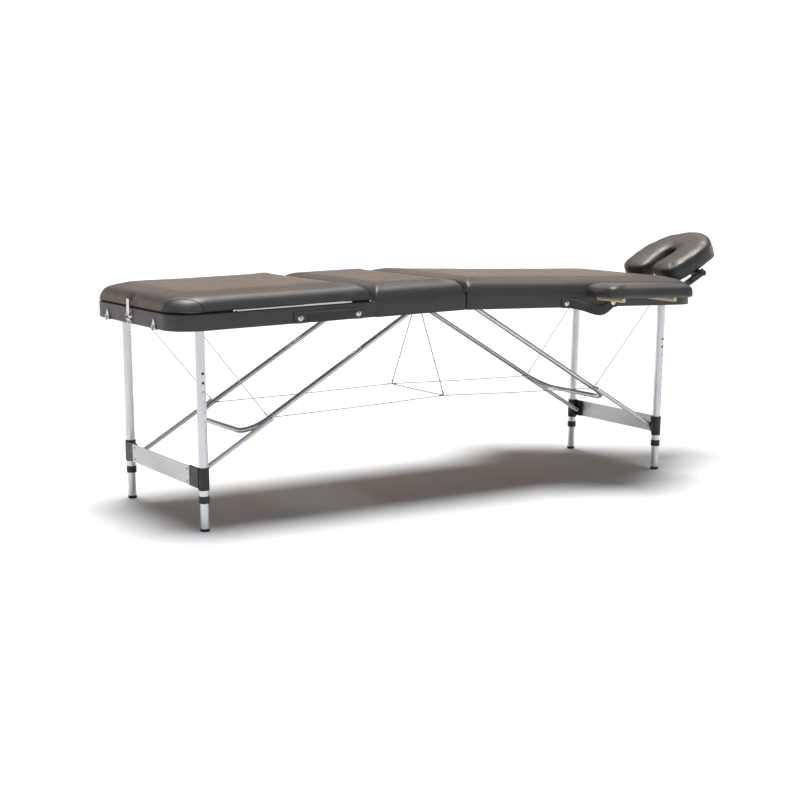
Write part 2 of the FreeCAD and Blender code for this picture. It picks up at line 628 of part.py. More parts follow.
def eye_plate(name, sign):
    """A triangular plate on the end rail with a hole for a strap hook."""
    body = doc.addObject("PartDesign::Body", name)
    sketch = body.newObject("Sketcher::SketchObject", name + "Outline")
    plane = [f for f in body.Origin.OriginFeatures if f.Role == "YZ_Plane"][0]
    sketch.AttachmentSupport = (plane, [""])
    sketch.MapMode = "FlatFace"
    bind(sketch, "AttachmentOffset.Base.z", "half_length")
    V = FreeCAD.Vector
    centre, wide, high = sign * S["eye_place"], S["eye_width"], S["eye_height"]
    points = [V(centre - wide / 2, -2, 0), V(centre + wide / 2, -2, 0), V(centre, high - 2, 0)]
    sketch.addGeometry([Part.LineSegment(points[k], points[(k + 1) % 3]) for k in range(3)], False)
    for k in range(3):
        sketch.addConstraint(Sketcher.Constraint("Coincident", k, 2, (k + 1) % 3, 1))
    sketch.addConstraint(Sketcher.Constraint("Horizontal", 0))
    sketch.addConstraint(Sketcher.Constraint("Equal", 1, 2))
    sketch.addGeometry(Part.Circle(V(centre, high / 3 - 2, 0), V(0, 0, 1), S["eye_hole"]), False)
    held = [("DistanceX", 0, 1, 0, 2, wide, "eye_width"), ("DistanceY", 0, 1, 1, 2, high, "eye_height"),
            ("DistanceX", -1, 1, 1, 2, centre, "%d * eye_place" % sign),
            ("DistanceY", -1, 1, 0, 1, -2, "-2"),
            ("DistanceX", -1, 1, 3, 3, centre, "%d * eye_place" % sign),
            ("DistanceY", 0, 1, 3, 3, high / 3, "eye_height / 3")]
    for kind, a, b, c, d, size, text in held:
        index = sketch.addConstraint(Sketcher.Constraint(kind, a, b, c, d, size))
        sketch.setExpression("Constraints[%d]" % index, bound(text))
    index = sketch.addConstraint(Sketcher.Constraint("Radius", 3, S["eye_hole"]))
    sketch.setExpression("Constraints[%d]" % index, bound("eye_hole"))
    pad = body.newObject("PartDesign::Pad", name + "Pad")
    pad.Profile = sketch
    bind(pad, "Length", "eye_thick")
    return body


# Plated fittings on both ends, and the suitcase latch on the back end: plate, lever and wire bail.
def make_end_fittings():
    eyes = [eye_plate("BackEye%d" % k, sign) for k, sign in enumerate((-1, 1))]
    back = "half_length + latch_thick"
    plate = box("LatchPlate", "half_length", "-latch_width / 2", 6, "latch_thick", "latch_width",
                "rail_height - 8")
    lugs = []
    for sign in (-1, 1):
        lugs.append(box("LatchLug%d" % (sign + 1), back,
                        mirrored_y(sign, "lever_width / 2 + slide_clear", "2"),
                        "latch_pin_height - 4", "8", "2", "8"))
        lugs.append(box("BailLug%d" % (sign + 1), back,
                        mirrored_y(sign, "bail_half + 1.4 * bail_wire + slide_clear", "2"),
                        "bail_pivot - 4", "6", "2", "8"))
    pin = rod("LatchPin", "y", back + " + 4", "-lever_width / 2 - 1", "latch_pin_height", "1.5",
              "lever_width + 2")
    hook = rod("BailPin", "y", back + " + 3", "-bail_half - 1.4 * bail_wire - 1", "bail_pivot", "1",
               "2 * bail_half + 2.8 * bail_wire + 2")
    whole = join("LatchWhole", [plate] + lugs + [pin, hook])
    node("back_end_plates", group("BackEndPlates", [whole] + eyes), "back")

    arm = box("LeverArm", back + " + 2.4", "-lever_width / 2", "latch_pin_height - 3", "3.2", "lever_width",
              "lever_top - latch_pin_height + 3")
    boss = rod("LeverBoss", "y", back + " + 4", "-lever_width / 2", "latch_pin_height", "3", "lever_width")
    eye = rod("LeverEye", "y", back + " + 4", "-lever_width / 2 - 1", "latch_pin_height",
              "1.5 + run_clear", "lever_width + 2")
    node("latch_lever", group("Lever", [cut("LeverBored", join("LeverSolid", [arm, boss]), [eye])]), "back")

    x = back + " + 3"
    wide = "2 * bail_half + 2.8 * bail_wire"
    start = "-bail_half - 1.4 * bail_wire"
    ring = rod("BailRing", "y", x, start, "bail_pivot", "1 + run_clear + 1.2", wide)
    sides = [rod("BailSide%d" % (sign + 1), "z", x, "%d * bail_half" % sign, "bail_pivot - bail_drop",
                 "bail_wire", "bail_drop")
             for sign in (-1, 1)]
    foot = rod("BailFoot", "y", x, start, "bail_pivot - bail_drop", "bail_wire * 1.1", wide)
    bore = rod("BailBore", "y", x, "-bail_half - 4", "bail_pivot", "1 + run_clear", "2 * bail_half + 8")
    node("latch_bail", group("Bail", [cut("BailBored", join("BailSolid", [ring] + sides + [foot]),
                                          [bore])]), "back")

    catch = box("Catch", "half_length", "-latch_width / 2", 8, "latch_thick", "latch_width", "24")
    lip = box("CatchLip", back, "-bail_half + bail_wire + 1", 22, "3", "2 * bail_half - 2 * bail_wire - 2",
              "4")
    head_eyes = [eye_plate("HeadEye%d" % k, sign) for k, sign in enumerate((-1, 1))]
    node("head_end_plates", group("HeadEndPlates", [join("CatchWhole", [catch, lip])] + head_eyes), "head")


def crown_levels(base, thick, left, right, low, high, corner_left, corner_right, round_left, round_right,
                 round_side):
    """Sections of a cushion: a drawn-in base, upright sides, round shoulders and a gentle crown."""
    sections = []
    steps = [(0.0, 0.02), (0.10, 0.0), (0.38, 0.06), (0.60, 0.20), (0.80, 0.42), (0.94, 0.72), (1.0, 1.2)]
    for share, inset in steps:
        level = "%s + %r * (%s)" % (base, share, thick)
        sections.append((level, "%s + %r * (%s)" % (left, inset, round_left),
                         "%s - %r * (%s)" % (right, inset, round_right),
                         "%s + %r * (%s)" % (low, inset, round_side),
                         "%s - %r * (%s)" % (high, inset, round_side),
                         corner_left, corner_right))
    return sections


# Boards and cushions of the fixed parts.
def make_tops():
    inset = "frame_width / 2 - board_inset"
    wide = "frame_width / 2 + cushion_overhang"
    fixed_end = "backrest_line - backrest_gap"
    node("middle_board", slab("MiddleBoard", "rail_height", "board_thick", "fold_gap", fixed_end,
                              "-(%s)" % inset, inset, 4, 4), "back")
    node("middle_cushion", padded("MiddleCushion", crown_levels(
        "rail_height + board_thick", "cushion_thick", "fold_gap", fixed_end, "-(%s)" % wide, wide,
        "cushion_corner", "cushion_corner", "edge_round", "hinge_round", "edge_round")), "back")
    node("head_board", slab("HeadBoard", "rail_height", "board_thick", "fold_gap",
                            "half_length - board_inset",
                            "-(%s)" % inset, inset, 4, "corner_radius - board_inset"), "head")
    node("head_cushion", padded("HeadCushion", crown_levels(
        "rail_height + board_thick", "cushion_thick", "fold_gap", "half_length + end_overhang",
        "-(%s)" % wide, wide,
        "cushion_corner", "corner_radius", "edge_round", "edge_round", "edge_round")), "head")
    base = "rail_height + backrest_lift"
    start = "backrest_line + backrest_gap"
    node("backrest_board", slab("BackrestBoard", base, "board_thick", start, "half_length - board_inset",
                                "-(%s)" % inset, inset, 4, "corner_radius - board_inset"), "back")
    node("backrest_cushion", padded("BackrestCushion", crown_levels(
        base + " + board_thick", "backrest_thick", start, "half_length + end_overhang", "-(%s)" % wide,
        wide,
        "cushion_corner", "corner_radius", "hinge_round", "edge_round", "edge_round")), "back")


# Hinges between the middle board and the backrest, the props under the backrest and their tracks.
def make_backrest_fittings():
    fixed, moving = [], []
    share = "leaf_length / 3"
    for k, sign in enumerate((-1, 1)):
        start = "%d * leaf_place - leaf_length / 2" % sign
        name = "Lift%d" % k
        solid = [box(name + "Fixed", "backrest_line - backrest_gap", start, "rail_height + 1",
                     "leaf_thick", "leaf_length",
                     "backrest_axis - rail_height - 1"),
                 rod(name + "Pin", "y", "backrest_line", start, "backrest_axis", "pin_radius",
                     "leaf_length")]
        for m in (0, 2):
            first = start + " + %d * %s" % (m, share) + (" + slide_clear" if m else "")
            solid.append(rod("%sKnuckle%d" % (name, m), "y", "backrest_line", first, "backrest_axis",
                             "knuckle_radius",
                             share + " - slide_clear"))
            solid.append(box("%sWeb%d" % (name, m), "backrest_line - backrest_gap", first,
                             "backrest_axis - knuckle_radius",
                             "backrest_gap", share + " - slide_clear", "knuckle_radius"))
        fixed.append(join(name + "FixedWhole", solid))
        middle = start + " + %s + slide_clear" % share
        length = share + " - 2 * slide_clear"
        turn = [box(name + "Moving", "backrest_line + backrest_gap - leaf_thick", middle,
                    "rail_height + backrest_lift", "leaf_thick",
                    length, "backrest_axis - rail_height - backrest_lift"),
                rod(name + "Turn", "y", "backrest_line", middle, "backrest_axis", "knuckle_radius", length),
                box(name + "TurnWeb", "backrest_line", middle, "backrest_axis - knuckle_radius",
                    "backrest_gap", length,
                    "knuckle_radius")]
        hole = rod(name + "Hole", "y", "backrest_line", start, "backrest_axis", "pin_radius + run_clear",
                   "leaf_length")
        moving.append(cut(name + "MovingWhole", join(name + "MovingSolid", turn), [hole]))
    height = "rail_height + track_thick + prop_pin + slide_clear"
    pivot = "backrest_line + prop_length"
    props, tracks = [], []
    for k, sign in enumerate((-1, 1)):
        name = "Prop%d" % k
        inner = mirrored_y(sign, "prop_place", "prop_thick")
        reach = "frame_width / 2 - rail_width + track_width - prop_place"
        bar = box(name + "Bar", pivot, inner, height + " - prop_depth / 2", "prop_length + prop_depth",
                  "prop_thick", "prop_depth")
        nose = rod(name + "Nose", "y", pivot, inner, height, "prop_depth / 2", "prop_thick")
        foot = rod(name + "Foot", "y", pivot + " + prop_length", mirrored_y(sign, "prop_place", reach),
                   height, "prop_pin", reach)
        eye = rod(name + "Eye", "y", pivot, mirrored_y(sign, "prop_place - 1", "prop_thick + 2"), height,
                  "1.2 + run_clear",
                  "prop_thick + 2")
        props.append(cut(name + "Whole", join(name + "Solid", [bar, nose, foot]), [eye]))
        hanger = box(name + "Hanger", pivot + " - 8", mirrored_y(sign, "prop_place - 4 - slide_clear", "4"),
                     height + " - 2", "16", "4", "rail_height + backrest_lift - (%s) + 2" % height)
        stub = rod(name + "Stub", "y", pivot, mirrored_y(sign, "prop_place - 4", "prop_thick + 3"), height,
                   "1.2", "prop_thick + 3")
        moving.append(join(name + "HangerWhole", [hanger, stub]))
        side = mirrored_y(sign, "frame_width / 2 - rail_width + 1", "track_width")
        start = pivot + " + prop_length + prop_depth - track_length"
        strip = box(name + "Track", start, side, "rail_height", "track_length", "track_width", "track_thick")
        edge = mirrored_y(sign, "frame_width / 2 - rail_width + 1 + track_width", "lip_thick")
        lip = box(name + "Lip", start, edge, "rail_height", "track_length", "lip_thick", "lip_height")
        rest = box(name + "Rest", "backrest_line + prop_stop - 6", side, "rail_height", "12",
                   "track_width", "track_thick + 3.4")
        stop = box(name + "Stop", "backrest_line + prop_stop - 10", side, "rail_height", "4",
                   "track_width", "track_thick + 4")
        tracks.append(join(name + "TrackWhole", [strip, lip, rest, stop]))
    node("backrest_hinge_leaves", group("LiftFixed", fixed), "back")
    node("backrest_hinge_arms", group("LiftMoving", moving), "back")
    node("backrest_props", group("Props", props), "back")
    node("prop_tracks", group("Tracks", tracks), "back")


# The headrest: fork with two posts, tilting platform, horseshoe cushion and clamp lever.
def make_headrest():
    solid = []
    run = S["tilt_station"] - S["fork_station"]
    rise = S["tilt_height"] - S["axle_height"]
    slope = math.degrees(math.atan2(rise, run))
    for sign in (-1, 1):
        name = "Fork%d" % (sign + 1)
        solid.append(rod(name + "Post", "x", "post_start", "%d * post_place" % sign, "axle_height",
                         "post_radius",
                         "fork_station - post_start"))
        arm = box(name + "Arm", "0", "0", "0", "%r + arm_width" % math.hypot(run, rise), "arm_thick",
                  "arm_width")
        arm.Placement.Rotation = FreeCAD.Rotation(FreeCAD.Vector(0, 1, 0), -slope)
        shift_x = -S["arm_width"] / 2 * (math.cos(math.radians(slope)) - math.sin(math.radians(slope)))
        shift_z = -S["arm_width"] / 2 * (math.sin(math.radians(slope)) + math.cos(math.radians(slope)))
        solid.append(put(arm, "fork_station + %r" % shift_x, mirrored_y(sign, "arm_place", "arm_thick"),
                         "axle_height + %r" % shift_z))
        solid.append(rod(name + "Pin", "y", "tilt_station", mirrored_y(sign, "arm_place - 10", "10"),
                         "tilt_height",
                         "tilt_pin", "10"))
    solid.append(rod("ForkCross", "y", "fork_station", "-arm_place - arm_thick", "axle_height",
                     "fork_radius",
                     "2 * (arm_place + arm_thick)"))
    node("headrest_fork", group("Fork", [join("ForkWhole", solid)]), "head")

    tilt = FreeCAD.Placement(FreeCAD.Vector(S["tilt_station"], 0, S["tilt_height"]),
                             FreeCAD.Rotation(FreeCAD.Vector(0, 1, 0), -S["tilt_angle"]))
    base = "rest_rise"
    ring = doc.addObject("Part::Torus", "RestRing")
    bind(ring, "Radius1", "rest_ring")
    bind(ring, "Radius2", "rest_fill")
    ring.Angle3 = 180
    ring.Placement.Rotation = FreeCAD.Rotation(FreeCAD.Vector(0, 0, 1), -90)
    middle = "rest_centre + (rest_straight - rest_ring) / 2"
    level = base + " + rest_fill / 2"
    soft = [put(ring, middle, 0, level)]
    for sign in (-1, 1):
        soft.append(rod("RestSide%d" % (sign + 1), "x", middle + " - rest_straight",
                        "%d * rest_ring" % sign, level,
                        "rest_fill", "rest_straight"))
        ball = doc.addObject("Part::Sphere", "RestEnd%d" % (sign + 1))
        bind(ball, "Radius", "rest_fill")
        soft.append(put(ball, middle + " - rest_straight", "%d * rest_ring" % sign, level))
    under = box("RestUnder", "-500", "-500", base + " - 200", "1000", "1000", "200")
    over = box("RestOver", "-500", "-500", level + " + rest_top", "1000", "1000", "200")
    node("headrest_cushion", group("RestCushion", [cut("RestCut", join("RestSoft", soft), [under, over])]),
         "head", tilt)

    half_wide = "(rest_ring + rest_fill / 2)"
    flat = slab("RestPlate", base + " - plate_gauge", "plate_gauge", middle + " - rest_straight",
                middle + " + rest_ring + rest_fill / 2",
                "-" + half_wide, half_wide, "rest_heel", "rest_nose")
    slot = slab("RestSlot", base + " - plate_gauge - 1", "plate_gauge + 2",
                middle + " - rest_straight - rest_fill",
                middle + " + rest_ring - rest_fill", "-(rest_ring - rest_fill)", "rest_ring - rest_fill",
                "slot_heel", "slot_nose")
    open_plate = cut("RestPlateCut", flat, [slot])
    lugs = []
    for sign in (-1, 1):
        lugs.append(box("RestLug%d" % (sign + 1), "-12",
                        mirrored_y(sign, half_wide + " - 14",
                                   "arm_place - slide_clear - %s + 14" % half_wide),
                        "-12", "24", "arm_place - slide_clear - %s + 14" % half_wide,
                        base + " - plate_gauge + 13"))
    holes = [rod("RestHole", "y", 0, "-arm_place - 1", 0, "tilt_pin + run_clear", "2 * arm_place + 2")]
    node("headrest_platform", group("RestPlatform",
                                    [cut("RestPlatformCut", join("RestPlatformSolid", [open_plate] + lugs),
                                         holes)]),
         "head", tilt)

    knob = rod("KnobBoss", "y", 0, "-arm_place - arm_thick - slide_clear - 10", 0, "10", "10")
    grip = box("KnobGrip", "-lever_length", "-arm_place - arm_thick - slide_clear - 8", "-5", "lever_length", "6", "10")
    node("headrest_lever", group("Knob", [join("KnobWhole", [knob, grip])]), "head", tilt)


# Two armrests, each a padded block on two wooden dowels that push into the side rail.
def make_armrests():
    for sign, word in ((-1, "near"), (1, "far")):
        face = "frame_width / 2 + armrest_gap"
        low = mirrored_y(sign, face, "armrest_width")
        node("armrest_pad_" + word, padded("Armrest" + word.title(), crown_levels(
            "armrest_base", "armrest_thick", "armrest_centre - armrest_length / 2",
            "armrest_centre + armrest_length / 2",
            low, low + " + armrest_width", "armrest_corner", "armrest_corner", "22", "22", "22")), "head")
        dowels = [rod("Dowel%s%d" % (word, k), "y", at, mirrored_y(sign, "dowel_inner", "dowel_length"),
                      "dowel_height",
                      "dowel_radius", "dowel_length") for k,
                      at in enumerate(("dowel_first", "dowel_second"))]
        node("armrest_dowels_" + word, group("Dowels" + word.title(), dowels), "head")


for side in ("back", "head"):
    make_rails(side)
    make_fold_hinge(side)
    make_pivots(side)
    make_leg_tubes(side)
    make_leg_clamps(side)
    make_leg_collars(side)
    make_leg_plate(side)
    for hand, name in ((near_sign(side), "near"), (-near_sign(side), "far")):
        make_inner_leg(side, hand, name)
    make_brace(side)
    make_struts(side)
    make_cables(side)
    make_handle(side)
make_yoke()
make_end_fittings()
make_tops()
make_backrest_fittings()
make_headrest()
make_armrests()
doc.removeObject(PROBE.Name)
doc.recompute()

# The origin is the middle of the whole table's outline, on the floor.
whole = FreeCAD.BoundBox()
for thing in NODES:
    whole.add(thing.Shape.optimalBoundingBox(False, False))
shift = FreeCAD.Vector(-whole.Center.x, -whole.Center.y, -whole.ZMin)
for thing in NODES:
    thing.Placement = FreeCAD.Placement(shift, FreeCAD.Rotation()) * thing.Placement
doc.recompute()

faults = []
for thing in doc.Objects:
    if "Invalid" in thing.State or "Error" in thing.State:
        faults.append("%s %s" % (thing.Label, thing.State))
for thing in NODES:
    if thing.Shape.isNull() or not thing.Shape.isValid() or not thing.Shape.Solids:
        faults.append("%s has no sound shape" % thing.Label)
if faults:
    raise RuntimeError("; ".join(faults))

os.makedirs("parts", exist_ok=True)
for thing in NODES:
    thing.Shape.exportStep("parts/%s.step" % thing.Label)
print("nodes", len(NODES), "shift", [round(v, 3) for v in shift])
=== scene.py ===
import math

import bmesh
import bpy
import numpy as np
from mathutils import Matrix, Vector
from mathutils.bvhtree import BVHTree


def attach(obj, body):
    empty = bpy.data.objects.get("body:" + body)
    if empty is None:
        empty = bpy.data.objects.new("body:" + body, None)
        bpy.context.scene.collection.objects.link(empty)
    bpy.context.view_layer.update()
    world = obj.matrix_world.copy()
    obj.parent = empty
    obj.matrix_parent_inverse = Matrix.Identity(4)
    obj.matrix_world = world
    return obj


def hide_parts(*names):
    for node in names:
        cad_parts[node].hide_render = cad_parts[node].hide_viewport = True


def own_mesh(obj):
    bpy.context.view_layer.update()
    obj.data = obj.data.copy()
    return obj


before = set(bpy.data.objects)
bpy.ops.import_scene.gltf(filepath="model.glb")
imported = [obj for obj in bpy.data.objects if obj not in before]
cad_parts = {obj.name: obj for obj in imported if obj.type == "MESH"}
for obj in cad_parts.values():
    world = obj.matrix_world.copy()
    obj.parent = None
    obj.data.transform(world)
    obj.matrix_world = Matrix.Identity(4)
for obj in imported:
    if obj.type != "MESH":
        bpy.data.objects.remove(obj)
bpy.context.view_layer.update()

# Each half has its own frame in millimetres:
# u outward from the fold, v across, w up from the rails' underside.
FOLD_X = -138.703
CAMBER = math.radians(1.39)
HINGE_DROP = 8.0
LEG_STATION = 857.0
LEG_REACH = 562.5
AXIS_Z = LEG_STATION * math.sin(CAMBER) + (LEG_REACH - HINGE_DROP) * math.cos(CAMBER)
HALF_LENGTH = 950.0
HALF_WIDTH = 298.0
CORNER = 88.0


def half_place(side):
    """The matrix from a half's millimetres to the table's metres."""
    ex = Vector((side * math.cos(CAMBER), 0, -math.sin(CAMBER)))
    ey = Vector((0, side, 0))
    ez = Vector((side * math.sin(CAMBER), 0, math.cos(CAMBER)))
    base = Vector((FOLD_X, 0, AXIS_Z)) + HINGE_DROP * ez
    rows = [[ex[k], ey[k], ez[k], base[k]] for k in range(3)] + [[0, 0, 0, 1]]
    return Matrix.Scale(0.001, 4) @ Matrix(rows)


PLACE = {"head": half_place(1), "back": half_place(-1)}
UPWARD = {h: tuple((PLACE[h].to_3x3() @ Vector((0, 0, 1))).normalized()) for h in PLACE}
NEAR = {"head": -1, "back": 1}
LEG_V = {"back": 250.75, "head": 219.25}

# Linkage of a leg: brace and strut lie in one line when it stands and on each other when it is folded
AXLE_W = 22.0
BRACE_PIVOT_U = 67.0
STRUT_PIVOT_U, STRUT_PIVOT_W = 850.0, -415.0
OPEN_U, OPEN_W = STRUT_PIVOT_U - BRACE_PIVOT_U, AXLE_W - STRUT_PIVOT_W
SHUT_U, SHUT_W = LEG_STATION - OPEN_W - BRACE_PIVOT_U, LEG_STATION - STRUT_PIVOT_U
BRACE_ANGLE = math.atan2(OPEN_W, OPEN_U)
UPPER_ARM = (math.hypot(OPEN_U, OPEN_W) + math.hypot(SHUT_U, SHUT_W)) / 2
LOWER_ARM = (math.hypot(OPEN_U, OPEN_W) - math.hypot(SHUT_U, SHUT_W)) / 2
BRACE_V, STRUT_V = 179.0, 195.0
BRACE_R, STRUT_R = 7.5, 7.0


def turned(half, u, w, angle):
    """A frame inside a half, at (u, w) and turned about v."""
    return PLACE[half] @ Matrix.Translation((u, 0, w)) @ Matrix.Rotation(angle, 4, "Y")


REST_U, REST_W, REST_TILT = 1100.0, 93.0, 28.2
STRUT_PLACE = {h: turned(h, STRUT_PIVOT_U, STRUT_PIVOT_W, BRACE_ANGLE + math.pi) for h in PLACE}
REST_PLACE = turned("head", REST_U, REST_W, math.radians(-REST_TILT))


# Materials
def shader(name, colour, rough, metallic=0.0, **sockets):
    """A principled material with its nodes, and coordinates in the piece's own metres."""
    material = bpy.data.materials.new(name)
    material.use_nodes = True
    tree = material.node_tree
    surface = tree.nodes["Principled BSDF"]
    surface.inputs["Base Color"].default_value = (*colour, 1)
    surface.inputs["Roughness"].default_value = rough
    surface.inputs["Metallic"].default_value = metallic
    for key, value in sockets.items():
        surface.inputs[key.replace("_", " ")].default_value = value
    coords = tree.nodes.new("ShaderNodeTexCoord").outputs["Object"]
    return material, tree, surface, coords


def scaled(tree, coords, x, y, z):
    node = tree.nodes.new("ShaderNodeMapping")
    node.inputs["Scale"].default_value = (x, y, z)
    tree.links.new(coords, node.inputs["Vector"])
    return node.outputs["Vector"]


def noise(tree, coords, scale, detail=2.0, rough=0.5):
    node = tree.nodes.new("ShaderNodeTexNoise")
    node.inputs["Scale"].default_value = scale
    node.inputs["Detail"].default_value = detail
    node.inputs["Roughness"].default_value = rough
    tree.links.new(coords, node.inputs["Vector"])
    return node.outputs["Fac"]


def spread(tree, value, low, high, first=0.3, last=0.7):
    node = tree.nodes.new("ShaderNodeMapRange")
    for key, number in (("From Min", first), ("From Max", last), ("To Min", low), ("To Max", high)):
        node.inputs[key].default_value = number
    tree.links.new(value, node.inputs["Value"])
    return node.outputs["Result"]


def between(tree, value, dark, light, first=0.3, last=0.7):
    node = tree.nodes.new("ShaderNodeValToRGB")
    node.color_ramp.elements[0].position = first
    node.color_ramp.elements[1].position = last
    node.color_ramp.elements[0].color = (*dark, 1)
    node.color_ramp.elements[1].color = (*light, 1)
    tree.links.new(value, node.inputs["Fac"])
    return node.outputs["Color"]


def bumps(tree, surface, layers):
    """Bump layers, each a height, its strength and its depth in metres."""
    normal = None
    for height, strength, depth in layers:
        node = tree.nodes.new("ShaderNodeBump")
        node.inputs["Strength"].default_value = strength
        node.inputs["Distance"].default_value = depth
        tree.links.new(height, node.inputs["Height"])
        if normal is not None:
            tree.links.new(normal, node.inputs["Normal"])
        normal = node.outputs["Normal"]
    tree.links.new(normal, surface.inputs["Normal"])


def cells(tree, coords, scale):
    node = tree.nodes.new("ShaderNodeTexVoronoi")
    node.feature = "DISTANCE_TO_EDGE"
    node.inputs["Scale"].default_value = scale
    tree.links.new(coords, node.inputs["Vector"])
    return node.outputs["Distance"]


def leather(name, dark, light, low, high):
    material, tree, surface, coords = shader(name, dark, low, Coat_Weight=0.06, Coat_Roughness=0.40)
    tone = noise(tree, coords, 7.0, 3.0)
    tree.links.new(between(tree, tone, dark, light), surface.inputs["Base Color"])
    tree.links.new(spread(tree, noise(tree, coords, 38.0, 3.0), low, high), surface.inputs["Roughness"])
    grain = spread(tree, cells(tree, coords, 620.0), 0.0, 1.0, 0.0, 0.16)
    bumps(tree, surface, [(noise(tree, coords, 11.0, 2.0), 0.12, 0.004),
                          (grain, 0.20, 0.00035), (noise(tree, coords, 1700.0, 1.0), 0.10, 0.0002)])
    return material


def brushed(name, dark, light, low, high, stretch, fine=420.0, metal=1.0):
    material, tree, surface, coords = shader(name, light, low, metal)
    along = scaled(tree, coords, *stretch)
    streak = noise(tree, along, fine, 3.0)
    tree.links.new(between(tree, noise(tree, coords, 5.0, 2.0), dark, light), surface.inputs["Base Color"])
    tree.links.new(spread(tree, streak, low, high), surface.inputs["Roughness"])
    bumps(tree, surface, [(streak, 0.10, 0.0002), (noise(tree, coords, 24.0, 2.0), 0.05, 0.0006)])
    return material


def moulded(name, dark, light, low, high, grain=900.0):
    material, tree, surface, coords = shader(name, dark, low)
    tree.links.new(between(tree, noise(tree, coords, 18.0, 3.0), dark, light), surface.inputs["Base Color"])
    tree.links.new(spread(tree, noise(tree, coords, 60.0, 2.0), low, high), surface.inputs["Roughness"])
    bumps(tree, surface, [(noise(tree, coords, grain, 2.0), 0.16, 0.0003),
                          (noise(tree, coords, 45.0, 2.0), 0.06, 0.0008)])
    return material


def wooden(name, dark, light, stretch, rings, low, high):
    material, tree, surface, coords = shader(name, light, low)
    along = scaled(tree, coords, *stretch)
    wave = tree.nodes.new("ShaderNodeTexWave")
    wave.inputs["Scale"].default_value = rings
    wave.inputs["Distortion"].default_value = 5.0
    wave.inputs["Detail"].default_value = 3.0
    tree.links.new(along, wave.inputs["Vector"])
    fibre = noise(tree, along, 260.0, 4.0)
    tree.links.new(between(tree, wave.outputs["Fac"], dark, light, 0.1, 0.9), surface.inputs["Base Color"])
    tree.links.new(spread(tree, fibre, low, high), surface.inputs["Roughness"])
    bumps(tree, surface, [(fibre, 0.18, 0.0004), (wave.outputs["Fac"], 0.05, 0.0004)])
    return material


def veneer(name, dark, light):
    """Plywood with its grain along x."""
    material, tree, surface, coords = shader(name, light, 0.6)
    figure = noise(tree, scaled(tree, coords, 0.35, 5.0, 5.0), 3.0, 4.0, 0.6)
    fibre = noise(tree, scaled(tree, coords, 0.04, 1.0, 1.0), 420.0, 4.0)
    tree.links.new(between(tree, figure, dark, light, 0.35, 0.65), surface.inputs["Base Color"])
    tree.links.new(spread(tree, fibre, 0.5, 0.7), surface.inputs["Roughness"])
    bumps(tree, surface, [(fibre, 0.2, 0.0004), (figure, 0.05, 0.0006)])
    return material


def woven(name, dark, light, pitch):
    material, tree, surface, coords = shader(name, dark, 0.7, Sheen_Weight=0.25, Sheen_Roughness=0.5)
    height = None
    for direction in ("X", "Z"):
        wave = tree.nodes.new("ShaderNodeTexWave")
        wave.bands_direction = direction
        wave.inputs["Scale"].default_value = pitch
        wave.inputs["Distortion"].default_value = 0.6
        tree.links.new(coords, wave.inputs["Vector"])
        if height is None:
            height = wave.outputs["Fac"]
        else:
            both = tree.nodes.new("ShaderNodeMath")
            both.operation = "MULTIPLY"
            tree.links.new(height, both.inputs[0])
            tree.links.new(wave.outputs["Fac"], both.inputs[1])
            height = both.outputs["Value"]
    # The colour follows the weave's height: the weave is real, and the darker dips between the threads are
    # painted shade.
    tree.links.new(between(tree, height, dark, light, 0.1, 0.9), surface.inputs["Base Color"])
    bumps(tree, surface, [(height, 0.45, 0.0007), (noise(tree, coords, 700.0, 2.0), 0.2, 0.0003)])
    return material


LEATHER = leather("black_leather", (0.024, 0.0230, 0.0225), (0.034, 0.0325, 0.0315), 0.46, 0.55)
# Near-black leather for the seam cords: painted shade of the seam's groove.
SEAM_PAINTED_SHADE = leather("seam_leather_painted_shade", (0.006, 0.006, 0.006), (0.012, 0.012, 0.012), 0.5, 0.6)
TUBE = brushed("satin_tube", (0.58, 0.58, 0.59), (0.66, 0.66, 0.67), 0.30, 0.44, (1.0, 1.0, 0.04))
BAR = brushed("brace_tube", (0.52, 0.53, 0.56), (0.64, 0.66, 0.70), 0.38, 0.50, (0.05, 1.0, 0.08))
# A lighter, less metallic copy of the aluminium for the struts and button domes: painted light, because under
# the table they lie in shade.
STRUT_PAINTED_LIGHT = brushed("strut_tube_painted_light", (0.74, 0.75, 0.78), (0.84, 0.85, 0.88), 0.36, 0.48, (0.05, 1.0, 0.08),
                metal=0.35)
SHEET = brushed("cross_plate", (0.46, 0.45, 0.44), (0.56, 0.55, 0.53), 0.38, 0.52, (1.0, 0.03, 1.0))
PLATED = brushed("nickel_plate", (0.46, 0.46, 0.47), (0.66, 0.66, 0.67), 0.16, 0.28, (1.0, 1.0, 1.0), 160.0)
ZINC = brushed("zinc_steel", (0.42, 0.42, 0.44), (0.58, 0.58, 0.60), 0.30, 0.44, (1.0, 1.0, 1.0), 200.0)
WIRE = brushed("cable_steel", (0.36, 0.36, 0.37), (0.52, 0.52, 0.53), 0.32, 0.46, (1.0, 1.0, 1.0), 500.0)
DARK_WIRE = brushed("yoke_steel", (0.10, 0.10, 0.10), (0.30, 0.30, 0.30), 0.36, 0.52, (1.0, 1.0, 1.0), 300.0)
PLASTIC = moulded("black_plastic", (0.014, 0.014, 0.016), (0.024, 0.024, 0.027), 0.42, 0.56)
RUBBER = moulded("black_rubber", (0.012, 0.012, 0.012), (0.022, 0.022, 0.022), 0.66, 0.80, 500.0)
WEBBING = woven("black_webbing", (0.010, 0.010, 0.012), (0.032, 0.032, 0.036), 260.0)
BEECH = wooden("turned_beech", (0.56, 0.37, 0.21), (0.76, 0.58, 0.38), (1.0, 0.05, 1.0), 55.0, 0.42, 0.60)
BOARD = veneer("plywood", (0.19, 0.13, 0.075), (0.29, 0.21, 0.13))

